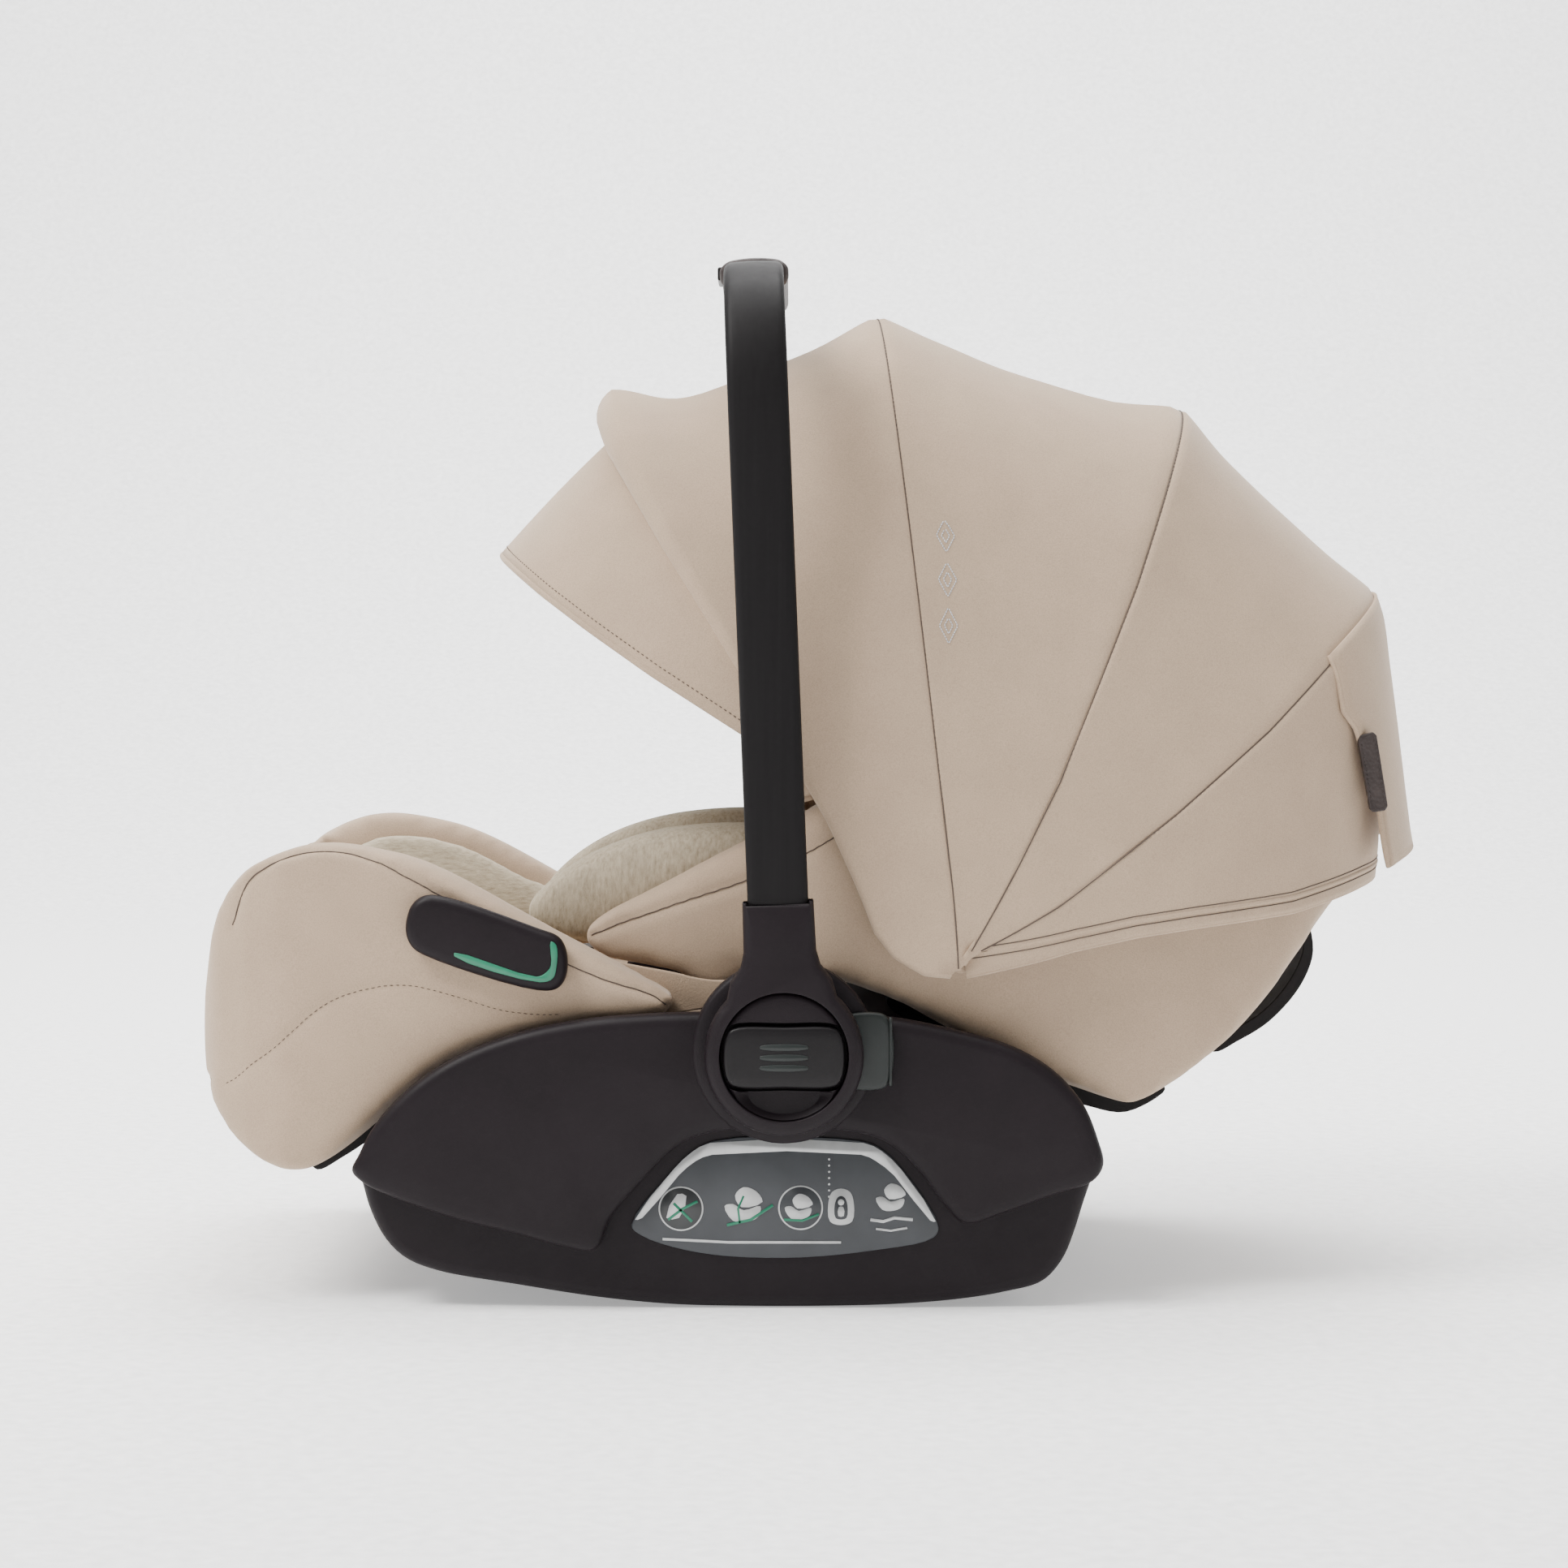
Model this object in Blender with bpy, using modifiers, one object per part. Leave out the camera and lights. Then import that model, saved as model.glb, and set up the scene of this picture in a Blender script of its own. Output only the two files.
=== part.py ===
"""Infant car seat: rocker base, carry handle, leg section, reclining back with harness, folding canopy.

Metres, +Z up. +X runs to the head end, -Y is the child's left. The origin is the floor point
straight below the handle axis. Outlines are (X, Z) pairs in millimetres.
"""

import math

import bmesh
import bpy
from mathutils import Matrix, Vector

MM = 0.001
SIDES = (("left", -1), ("right", 1))

# Driving dimensions, mm
HUB_X, HUB_Z = 0.0, 142.0  # axis of the handle and of the recline
HANDLE_TILT = 2.25  # degrees toward the foot end
HANDLE_REACH = 437.5  # hub axis to the middle of the crossbar
HANDLE_HALF = 212.5  # middle of an arm
ARM_WIDTH, ARM_THICK = 32.5, 14.0
RING_RADIUS = 42.6
TUB_HALF, COVER_HALF = 182.0, 196.0
LEG_HALF, BACK_HALF = 176.0, 170.0
CANOPY_X, CANOPY_Z = 100.0, 188.0  # canopy pivot
CANOPY_HALF = 189.0
CANOPY_POWER = 3.2
FABRIC = 2.0
# Angle about the canopy pivot (0 = toward the head) and reach from it, at each line of the canopy
VISOR_RIM, VISOR_BOW, FRONT_BOW = (139.5, 346.0), (122.0, 376.0), (97.3, 364.0)
MID_BOW, REAR_BOW, HEM = (67.4, 334.0), (40.1, 314.0), (10.3, 246.0)

COVER_TOP = [
    (-234, 77), (-230, 85), (-224, 98), (-213, 112), (-195, 128), (-173, 141), (-143, 152),
    (-108, 159), (-73, 162), (-42, 163), (41, 161), (59, 160), (94, 153), (124, 144),
    (146, 131), (162, 113), (170, 94), (173, 80),
]
COVER_LIP = [
    (167, 71), (147, 64), (120, 54), (98, 48), (87, 58), (72, 78), (54, 93), (28, 99), (-29, 99),
    (-55, 92), (-77, 71), (-94, 51), (-102, 34), (-121, 36), (-143, 42), (-179, 51), (-218, 65),
    (-229, 71),
]
ROCKER = [
    (167, 68), (161, 53), (157, 38), (150, 22), (139, 13), (104, 6), (70, 0), (-60, 0), (-100, 6),
    (-145, 13), (-193, 22), (-207, 27), (-218, 38), (-226, 53), (-230, 68),
]
LABEL = [
    (-83, 46), (-77, 40), (-47, 31), (0, 28), (48, 32), (81, 39), (84, 45), (63, 78), (52, 88),
    (41, 92), (-38, 92), (-51, 84),
]
LEG = [
    (-317, 137), (-314, 182), (-309, 213), (-295, 233), (-272, 246), (-250, 250), (-228, 246),
    (-199, 243), (-162, 222), (-116, 196), (-76, 176), (-62, 168), (-60, 160), (-118, 154),
    (-144, 148), (-180, 137), (-207, 117), (-233, 95), (-260, 78), (-269, 78), (-287, 85),
    (-309, 110), (-315, 120),
]
LEG_POCKET = [
    (-292, 300), (-292, 214), (-268, 182), (-232, 163), (-200, 160), (-150, 158), (-50, 164),
    (-50, 300),
]
BACK = [
    (-48, 170), (-38, 175), (-20, 179), (20, 181), (42, 175), (69, 164), (104, 145), (144, 125),
    (167, 117), (190, 109), (211, 119), (238, 138), (265, 164), (287, 191), (309, 219),
    (326, 230), (335, 245), (336, 280), (328, 300), (250, 305), (150, 300), (60, 288), (26, 275),
    (-20, 247), (-48, 232),
]
BACK_POCKET = [
    (-70, 190), (20, 190), (60, 184), (120, 170), (190, 160), (250, 172), (290, 200), (310, 250),
    (316, 330), (-70, 330),
]
WING_TIP = [
    (-112, 200), (-100, 207), (-78, 217), (-40, 236), (-40, 183), (-58, 185), (-90, 190),
    (-108, 195),
]
BOLSTER = [
    (-147, 214), (-131, 230), (-104, 246), (-76, 255), (-39, 260), (0, 258), (60, 252),
    (120, 244), (148, 232), (150, 180), (120, 182), (60, 194), (20, 198), (-48, 198), (-100, 200),
    (-140, 206),
]
BELT_GUIDE = [
    (-205, 206), (-203, 218), (-198, 224), (-190, 226), (-134, 208), (-122, 203), (-118, 196),
    (-118, 182), (-123, 175), (-134, 174), (-195, 193), (-202, 198),
]
GUIDE_LINE = [
    (-178, 193), (-132, 179), (-125, 181), (-123, 187), (-123, 199), (-126, 201), (-126, 188),
    (-129, 184), (-134, 182), (-178, 195),
]
REAR_GUIDE = [
    (240, 132), (249, 125), (262, 131), (281, 143), (299, 164), (306, 184), (301, 204), (297, 200),
    (300, 186), (293, 168), (277, 149), (259, 138), (248, 134), (243, 138),
]
BACK_SHELL = [
    (60, 166), (104, 143), (144, 123), (167, 115), (190, 107), (208, 115), (214, 112), (192, 99),
    (168, 103), (140, 112), (100, 134), (58, 159),
]
LEG_SHELL = [
    (-262, 76), (-246, 84), (-233, 92), (-207, 114), (-180, 134), (-144, 145), (-118, 151),
    (-62, 157), (-62, 151), (-116, 146), (-142, 140), (-176, 130), (-203, 109), (-229, 88),
    (-244, 78), (-258, 71),
]


def clear_scene():
    for obj in list(bpy.data.objects):
        bpy.data.objects.remove(obj)


def new_collection(name, hidden=False):
    made = bpy.data.collections.new(name)
    bpy.context.scene.collection.children.link(made)
    made.hide_render = hidden
    return made


def material(name, colour, roughness, metallic=0.0):
    made = bpy.data.materials.new(name)
    made.use_nodes = True
    shader = made.node_tree.nodes["Principled BSDF"]
    shader.inputs["Base Color"].default_value = (*colour, 1.0)
    shader.inputs["Roughness"].default_value = roughness
    shader.inputs["Metallic"].default_value = metallic
    return made


def place(name, bm, mat, origin=(0, 0, 0)):
    """An object of this mesh, its own origin at the given point in mm. No material makes it a cutter."""
    bmesh.ops.recalc_face_normals(bm, faces=bm.faces)
    origin = Vector(origin) * MM
    bmesh.ops.translate(bm, verts=bm.verts, vec=-origin)
    mesh = bpy.data.meshes.new(name)
    bm.to_mesh(mesh)
    bm.free()
    obj = bpy.data.objects.new(name, mesh)
    obj.location = origin
    if mat is None:
        obj.hide_render = True
        obj.display_type = "WIRE"
        CUTTERS.objects.link(obj)
    else:
        mesh.materials.append(mat)
        SEAT.objects.link(obj)
    return obj


def bevel(obj, width, segments=2, angle=35):
    rounding = obj.modifiers.new("Bevel", "BEVEL")
    rounding.width = width * MM
    rounding.segments = segments
    rounding.limit_method = "ANGLE"
    rounding.angle_limit = math.radians(angle)
    return obj


def combine(obj, other, operation="DIFFERENCE"):
    change = obj.modifiers.new(operation.title(), "BOOLEAN")
    change.operation = operation
    change.solver = "EXACT"
    change.object = other
    return obj


def rings_mesh(rings):
    """A closed solid through rings of points in mm, capped at both ends."""
    bm = bmesh.new()
    rows = [[bm.verts.new(Vector(p) * MM) for p in ring] for ring in rings]
    count = len(rows[0])
    for first, second in zip(rows, rows[1:]):
        for k in range(count):
            bm.faces.new((first[k], first[(k + 1) % count], second[(k + 1) % count], second[k]))
    bm.faces.new(rows[0])
    bm.faces.new(rows[-1])
    return bm


def prism(name, outline, y0, y1, mat=None, origin=(0, 0, 0)):
    """The (X, Z) outline as a filled 2D curve, extruded from y0 to y1."""
    curve = bpy.data.curves.new(name, "CURVE")
    curve.dimensions = "2D"
    curve.fill_mode = "BOTH"
    curve.extrude = abs(y1 - y0) / 2 * MM
    spline = curve.splines.new("POLY")
    spline.points.add(len(outline) - 1)
    spline.use_cyclic_u = True
    for point, (x, z) in zip(spline.points, outline):
        point.co = (x * MM, z * MM, 0, 1)
    guide = bpy.data.objects.new(name, curve)
    bm = bmesh.new()
    bm.from_mesh(bpy.data.meshes.new_from_object(guide))
    bpy.data.objects.remove(guide)
    bmesh.ops.remove_doubles(bm, verts=bm.verts, dist=1e-6)
    bmesh.ops.dissolve_limit(bm, angle_limit=math.radians(0.1), verts=bm.verts, edges=bm.edges)
    for vert in bm.verts:
        x, z, across = vert.co
        vert.co = (x, (y0 + y1) / 2 * MM - across, z)
    return place(name, bm, mat, origin)


def slab(name, outline, z0, z1, mat=None):
    """The (X, Y) outline drawn from z0 to z1."""
    return place(name, rings_mesh([[(x, y, z) for x, y in outline] for z in (z0, z1)]), mat)


def block(name, low, high, mat=None, origin=(0, 0, 0)):
    """A box between two corners."""
    low, high = Vector(low) * MM, Vector(high) * MM
    bm = bmesh.new()
    bmesh.ops.create_cube(bm, size=1)
    size = Matrix.Diagonal([abs(edge) for edge in high - low])
    bmesh.ops.transform(bm, matrix=Matrix.Translation((low + high) / 2) @ size.to_4x4(), verts=bm.verts)
    return place(name, bm, mat, origin)


def disc(name, x, z, radius, y0, y1, mat=None, count=32, origin=(0, 0, 0)):
    """A cylinder about a line along Y."""
    bm = bmesh.new()
    turned = Matrix.Translation((x * MM, (y0 + y1) / 2 * MM, z * MM)) @ Matrix.Rotation(math.radians(90), 4, "X")
    bmesh.ops.create_cone(
        bm, cap_ends=True, segments=count, radius1=radius * MM, radius2=radius * MM,
        depth=abs(y1 - y0) * MM, matrix=turned,
    )
    return place(name, bm, mat, origin)


def circle(x, z, radius, count=32, start=0.0, sweep=360.0):
    whole = abs(sweep) >= 360
    steps = count if whole else count - 1
    angles = [math.radians(start + sweep * k / steps) for k in range(count)]
    return [(x + radius * math.cos(a), z + radius * math.sin(a)) for a in angles]


def inset(outline, by):
    """The outline moved inward by this many mm."""
    area = sum(a[0] * b[1] - b[0] * a[1] for a, b in zip(outline, outline[1:] + outline[:1]))
    turn = 1 if area > 0 else -1
    moved = []
    for k, (x, z) in enumerate(outline):
        before, after = Vector(outline[k - 1]), Vector(outline[(k + 1) % len(outline)])
        one = (Vector((x, z)) - before).normalized()
        two = (after - Vector((x, z))).normalized()
        n1, n2 = Vector((-one.y, one.x)) * turn, Vector((-two.y, two.x)) * turn
        mid = (n1 + n2).normalized()
        moved.append(tuple(Vector((x, z)) + mid * by / max(mid.dot(n1), 0.5)))
    return moved


def tilted(t, reach):
    """(X, Z) of a point on the handle: t across an arm, reach along it from the hub axis."""
    a = math.radians(HANDLE_TILT)
    return (
        HUB_X - reach * math.sin(a) + t * math.cos(a),
        HUB_Z + reach * math.cos(a) + t * math.sin(a),
    )


def hub_point(side):
    return (HUB_X, side * HANDLE_HALF, HUB_Z)


# Base

def base_parts():
    tub_rim = [(x, z - 3) for x, z in reversed(COVER_TOP[1:-1])]
    tub = bevel(prism("base_tub", ROCKER + tub_rim[::-1], -TUB_HALF, TUB_HALF, BLACK), 5)
    floor = [(161, 68), (153, 40), (146, 26), (137, 18), (104, 11), (70, 5), (-60, 5), (-100, 11)]
    floor += [(-145, 18), (-192, 27), (-203, 32), (-213, 41), (-221, 55), (-225, 68)]
    floor += [(-226, 77), (-250, 77), (-250, 260), (190, 260), (190, 80), (162, 80)]
    combine(tub, prism("cut_tub", floor, -178, 178))
    combine(tub, disc("cut_tub_bore", HUB_X, HUB_Z, 8.4, -190, 190, count=22))
    for name, side in SIDES:
        cover = prism(f"side_cover_{name}", COVER_TOP + COVER_LIP, side * 182.4, side * COVER_HALF, BLACK)
        bevel(cover, 2.5)
        hollow = inset(COVER_TOP + COVER_LIP, 4.5)
        combine(cover, prism(f"cut_cover_{name}", hollow, side * 181, side * 191.5))
        boss = disc(f"add_boss_{name}", HUB_X, HUB_Z, 49, side * 182.4, side * 198, count=40)
        combine(cover, bevel(boss, 1.5), "UNION")
        combine(cover, disc(f"cut_bore_{name}", HUB_X, HUB_Z, 8.4, side * 175, side * 205, count=24))
        prism(f"info_label_{name}", LABEL, side * 182.3, side * 183.3, LABEL_GREY)
        disc(f"axle_{name}", HUB_X, HUB_Z, 8, side * 176, side * 208, STEEL, 24)
        release_lever(name, side)


def release_lever(name, side):
    plate = [(22, 129), (22, 157), (38, 163), (54, 163), (57, 160), (58, 143), (57, 127), (53, 123)]
    plate += [(38, 123)]
    lip = [(54.6, 125), (54.6, 162), (57, 160), (58, 143), (57, 127)]
    lever = prism(f"release_lever_{name}", plate, side * 198.4, side * 202.6, LEVER, (45, side * 200, 143))
    combine(lever, prism(f"add_lip_{name}", lip, side * 196.5, side * 200), "UNION")


# Carry handle

def arch_line():
    """(y, reach) down one half of the arch, from its middle to the end of the arm."""
    points = [(y, HANDLE_REACH - 13 * (y / 150) ** 2) for y in (0, 40, 80, 115, 150)]
    p0, p1, p2, p3 = (150, 424.5), (190, 417.6), (HANDLE_HALF, 392), (HANDLE_HALF, 340)
    for k in range(1, 9):
        s = k / 8
        weights = ((1 - s) ** 3, 3 * s * (1 - s) ** 2, 3 * s * s * (1 - s), s**3)
        points.append(tuple(sum(w * p[i] for w, p in zip(weights, (p0, p1, p2, p3))) for i in (0, 1)))
    return points + [(HANDLE_HALF, 200), (HANDLE_HALF, 52)]


def sweep_arch(name, line, width, thick, corner, mat, origin):
    """A tube of rounded rectangular section along (y, reach) points."""
    section = []
    for cx, cy, start in ((1, 1, 0), (-1, 1, 90), (-1, -1, 180), (1, -1, 270)):
        for x, y in circle(0, 0, corner, 4, start, 90):
            section.append((cx * (width / 2 - corner) + x, cy * (thick / 2 - corner) + y))
    rings = []
    for k, (y, reach) in enumerate(line):
        before, after = line[max(k - 1, 0)], line[min(k + 1, len(line) - 1)]
        along = Vector((after[0] - before[0], after[1] - before[1])).normalized()
        ring = []
        for t, n in section:
            x, z = tilted(t, reach + n * along.x)
            ring.append((x, y - n * along.y, z))
        rings.append(ring)
    return place(name, rings_mesh(rings), mat, origin)


def handle_parts():
    half = arch_line()
    line = [(-y, reach) for y, reach in reversed(half)] + half[1:]
    tube = sweep_arch("handle_arch", line, ARM_WIDTH, ARM_THICK, 4.5, ANODISED, (HUB_X, 0, HUB_Z))
    inside = [(-HANDLE_HALF, 30)] + line[1:-1] + [(HANDLE_HALF, 30)]
    combine(tube, sweep_arch("cut_tube", inside, ARM_WIDTH - 5, ARM_THICK - 5, 2.5, None, (0, 0, 0)))
    grip_line = [(y, HANDLE_REACH - 13 * (y / 150) ** 2) for y in (-88, -60, -30, 0, 30, 60, 88)]
    grip = sweep_arch("handle_grip", grip_line, 39, 17, 7.5, LEATHER, (HUB_X, 0, HUB_Z))
    core = [(y, HANDLE_REACH - 13 * (y / 150) ** 2) for y in (-100, -80, -40, 0, 40, 80, 100)]
    combine(grip, sweep_arch("cut_grip", core, ARM_WIDTH + 0.8, ARM_THICK + 0.8, 4, None, (0, 0, 0)))
    # Thumb latch let into the grip's foot side
    x, z = tilted(-19.5, HANDLE_REACH)
    latch_cut = block("cut_latch", (x - 3, -21, z - 4.5), (x + 6, 21, z + 4.5))
    combine(grip, latch_cut)
    combine(tube, latch_cut)
    latch = block("grip_latch", (x - 2.2, -20.4, z - 4), (x + 2.2, 20.4, z + 4), BLACK, (x, 0, z))
    bevel(latch, 1.2, 1)
    for name, side in SIDES:
        fork(name, side)


def fork(name, side):
    sleeve = [(19, 83), (19, 53), (21, 45), (26.5, 36)]
    ring = circle(0, 0, RING_RADIUS, 33, 51, -282)
    outline = [tilted(t, r) for t, r in sleeve + ring + [(-t, r) for t, r in reversed(sleeve)]]
    body = prism(f"handle_fork_{name}", outline, side * 203.6, side * 222, BLACK, hub_point(side))
    bevel(body, 2.0, 2, 50)
    socket = [tilted(t, r) for t, r in ((-16.6, 49), (16.6, 49), (16.6, 95), (-16.6, 95))]
    combine(body, prism(f"cut_socket_{name}", socket, side * 205.2, side * 219.8))
    combine(body, disc(f"cut_face_{name}", HUB_X, HUB_Z, 34.5, side * 208.5, side * 230))
    combine(body, disc(f"cut_axle_{name}", HUB_X, HUB_Z, 8.4, side * 200, side * 212, count=24))
    cap = disc(f"hub_cap_{name}", HUB_X, HUB_Z, 34.1, side * 208.9, side * 220, BLACK, 40, hub_point(side))
    combine(cap, block(f"cut_cap_{name}", (-40, side * 211, 124.6), (40, side * 230, 159.4)))
    plate = circle(HUB_X, HUB_Z, 33.2, 12, -29, 58) + circle(HUB_X, HUB_Z, 33.2, 12, 151, 58)
    button = prism(f"handle_button_{name}", plate, side * 215, side * 221.8, GLOSS, hub_point(side))
    bevel(button, 1.2, 2, 50)


# Leg section

def leg_parts():
    cover = bevel(prism("leg_cover", LEG, -LEG_HALF, LEG_HALF, FABRIC_MAT), 12, 3, 50)
    combine(cover, prism("cut_leg", LEG_POCKET, -140, 140))
    prism("leg_shell", LEG_SHELL, -150, 150, BLACK)
    pad = [(-288, 217), (-266, 185), (-231, 166), (-200, 163), (-156, 161), (-156, 173)]
    pad += [(-198, 176), (-226, 180), (-256, 197), (-276, 222)]
    bevel(prism("leg_pad", pad, -137, 137, KNIT), 4, 1, 50)
    for name, side in SIDES:
        guide = prism(f"belt_guide_{name}", BELT_GUIDE, side * 176.5, side * 188, BLACK)
        bevel(guide, 2.0, 2, 60)
        prism(f"guide_line_{name}", GUIDE_LINE, side * 188.3, side * 189.2, GREEN)
    housing = block("adjuster_housing", (-92, -22, 165.5), (-60, 22, 174), BLACK)
    combine(housing, block("cut_housing", (-85, -10, 168.2), (-67, 10, 180)))
    block("adjuster_button", (-84, -9, 172), (-68, 9, 176.5), LEVER, (-76, 0, 174))
    block("adjuster_strap", (-225, -12.5, 181.5), (-100, 12.5, 183.3), WEBBING)


# Reclining back

def plan(x_tip, half):
    """(X, Y) outline of the back, square at the foot side and rounded at the head."""
    x0, reach = 100.0, x_tip - 100.0
    side = []
    for k in range(13):
        a = math.radians(90 - 7.5 * k)
        side.append((x0 + reach * math.cos(a) ** (2 / 3), half * math.sin(a) ** (2 / 3)))
    side[-1] = (x_tip, 0.0)
    return [(-130, half)] + side + [(x, -y) for x, y in reversed(side[:-1])] + [(-130, -half)]


def back_parts():
    cover = bevel(prism("back_cover", BACK, -BACK_HALF, BACK_HALF, FABRIC_MAT), 10, 2, 50)
    combine(cover, slab("keep_back", plan(337, BACK_HALF), 80, 330), "INTERSECT")
    pocket = prism("cut_back", BACK_POCKET, -133, 133)
    combine(pocket, slab("keep_pocket", plan(323, 135), 80, 400), "INTERSECT")
    combine(cover, pocket)
    for name, side in SIDES:
        tip = prism(f"add_tip_{name}", WING_TIP, side * 109, side * 138.5)
        combine(cover, bevel(tip, 5, 2, 50), "UNION")
        bolster = prism(f"insert_bolster_{name}", BOLSTER, side * 58, side * 106, KNIT)
        bevel(bolster, 9, 2, 50)
    bevel(prism("back_shell", BACK_SHELL, -120, 120, BLACK), 1.5, 1, 60)
    prism("rear_belt_guide", REAR_GUIDE, -55, 55, BLACK)
    pad = [(-46, 191), (20, 191), (61, 185), (121, 171), (190, 161.5), (208, 165.5)]
    pad += [(208, 177), (190, 173), (123, 183), (64, 197), (21, 203), (-46, 203)]
    prism("back_pad", pad, -56, 56, KNIT)
    headrest()
    harness()


def headrest():
    """U-shaped head support, open upward and toward the feet."""
    outer = [(-100, 290), (-109, 272), (-109, 222), (-98, 204), (98, 204), (109, 222), (109, 272)]
    inner = [(100, 290), (84, 290), (78, 262), (74, 238), (58, 223)]
    inner += [(-58, 223), (-74, 238), (-78, 262), (-84, 290)]
    rings = [[(x, y, z) for y, z in outer + inner] for x in (206, 262)]
    obj = place("headrest", rings_mesh(rings), FABRIC_MAT, (234, 0, 213))
    bevel(obj, 5, 1, 50)


def strap(name, points, width, thick, y_shift, mat):
    """A flat band through (x, z) points, its middle line moving from one y to another."""
    rings = []
    for k, (x, z) in enumerate(points):
        before, after = points[max(k - 1, 0)], points[min(k + 1, len(points) - 1)]
        along = Vector((after[0] - before[0], after[1] - before[1])).normalized()
        nx, nz = -along.y * thick, along.x * thick
        y = y_shift[0] + (y_shift[1] - y_shift[0]) * k / (len(points) - 1)
        low, high = y - width / 2, y + width / 2
        rings.append([(x, low, z), (x, high, z), (x + nx, high, z + nz), (x + nx, low, z + nz)])
    return place(name, rings_mesh(rings), mat)


def harness():
    for name, side in SIDES:
        points = [(48, 205.5), (62, 200.5), (90, 194.5), (122, 187.5), (146, 182.5)]
        strap(f"harness_strap_{name}", points, 25, 1.6, (side * 15, side * 36), WEBBING)
        points = [(66, 202.2), (90, 197), (122, 190), (136, 187)]
        cushion = strap(f"harness_pad_{name}", points, 38, 9, (side * 20.5, side * 34.5), FABRIC_MAT)
        bevel(cushion, 2.5, 1, 50)
        block(f"buckle_tongue_{name}", (36, side * 14 - 11, 209), (53, side * 14 + 11, 211.2), STEEL)
    shell = bevel(block("buckle", (-12, -25, 204), (35, 25, 222), BLACK), 4, 2)
    combine(shell, block("cut_buckle", (-6, -13, 212), (18, 13, 230)))
    bevel(block("buckle_button", (-5.5, -12.5, 216), (17.5, 12.5, 224), RED, (6, 0, 220)), 1, 1)
    strap("crotch_strap", [(-42, 203.6), (-30, 204.2), (-13, 209)], 30, 1.6, (0, 0), WEBBING)


# Canopy

def canopy_point(angle, reach, y, ahead=0.0):
    """A point on a half plane through the canopy pivot, moved this far ahead of that plane."""
    a = math.radians(angle)
    x = CANOPY_X + reach * math.cos(a) - ahead * math.sin(a)
    return (x, y, CANOPY_Z + reach * math.sin(a) + ahead * math.cos(a))


def arch(reach, half, count, start):
    """(y, reach) points over the canopy, beginning and ending this far from the pivot."""
    first = math.asin((start / reach) ** (CANOPY_POWER / 2))
    points = []
    for k in range(count):
        a = first + (math.pi - 2 * first) * k / (count - 1)
        c, s = math.cos(a), math.sin(a)
        points.append(
            (math.copysign(half * abs(c) ** (2 / CANOPY_POWER), -c), reach * s ** (2 / CANOPY_POWER))
        )
    return points


def panel(name, lines, mat, start=30.0, count=19):
    """A stretched fabric panel through (angle, reach, ahead) lines."""
    grids = []
    for depth in (0.0, FABRIC):
        rows = []
        for angle, reach, ahead in lines:
            points = arch(reach - depth, CANOPY_HALF - depth, count, start)
            rows.append([canopy_point(angle, r, y, ahead) for y, r in points])
        grids.append(rows)
    rings = [outer + inner[::-1] for outer, inner in zip(*grids)]
    return place(name, rings_mesh(rings), mat, (CANOPY_X, 0, CANOPY_Z))


def bow(name, line, half, start, mat, ringed=True):
    """A flat springy bow 3 mm thick, ending in a ring on each pivot pin."""
    angle, reach = line
    points = arch(reach, half, 31, start)
    if ringed:
        points = [(-half, 8.0)] + points + [(half, 8.0)]
    rings = []
    for k, (y, r) in enumerate(points):
        before, after = points[max(k - 1, 0)], points[min(k + 1, len(points) - 1)]
        along = Vector((after[0] - before[0], after[1] - before[1])).normalized()
        n = Vector((-along.y, along.x)) * 1.5
        rings.append(
            [canopy_point(angle, r + e * n.y, y + e * n.x, a) for e, a in ((1, -3), (1, 3), (-1, 3), (-1, -3))]
        )
    obj = place(name, rings_mesh(rings), mat, (CANOPY_X, 0, CANOPY_Z))
    if ringed:
        for side_name, side in SIDES:
            y0, y1 = side * (half - 1.5), side * (half + 1.5)
            eye = disc(f"add_eye_{name}_{side_name}", CANOPY_X, CANOPY_Z, 11, y0, y1, count=20)
            hole = disc(f"cut_eye_{name}_{side_name}", CANOPY_X, CANOPY_Z, 5.9, side * 150, side * 200, count=20)
            combine(obj, eye, "UNION")
            combine(obj, hole)
    return obj


def canopy_parts():
    gap = 0.4
    (a0, r0), (a1, r1), (a2, r2) = VISOR_RIM, VISOR_BOW, FRONT_BOW
    (a3, r3), (a4, r4), (a5, r5) = MID_BOW, REAR_BOW, HEM
    panel("visor_panel", [(a1, r1 - 19, gap), (131, 348, 0), (a0, r0, 0)], FABRIC_MAT)
    panel("front_panel", [(a2, r2, gap), (105, 350, 0), (114, 349, 0), (a1, r1, -gap)], FABRIC_MAT)
    panel("top_panel", [(a3, r3, gap), (77, 339, 0), (87, 348, 0), (a2, r2, -gap)], FABRIC_MAT)
    panel("rear_panel", [(a4, r4, gap), (54, 321, 0), (a3, r3, -gap)], FABRIC_MAT)
    panel("base_panel", [(a5, r5, 0), (20, 264, 0), (30, 288, 0), (a4, r4, -gap)], FABRIC_MAT)
    bow("visor_rim", (a0 - 1.2, r0 - 5), 180, 120, SPRING, False)
    bow("visor_bow", (a1, r1 - 26), 183, 120, SPRING, False)
    bow("front_bow", (a2, r2 - 7), 183, 30, SPRING)
    bow("mid_bow", (a3, r3 - 7), 179.4, 30, SPRING)
    bow("rear_bow", (a4, r4 - 8), 175.8, 30, SPRING)
    for name, side in SIDES:
        disc(f"canopy_pin_{name}", CANOPY_X, CANOPY_Z, 5.5, side * 170.4, side * 186, BLACK, 20)
    rear_flap()


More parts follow.
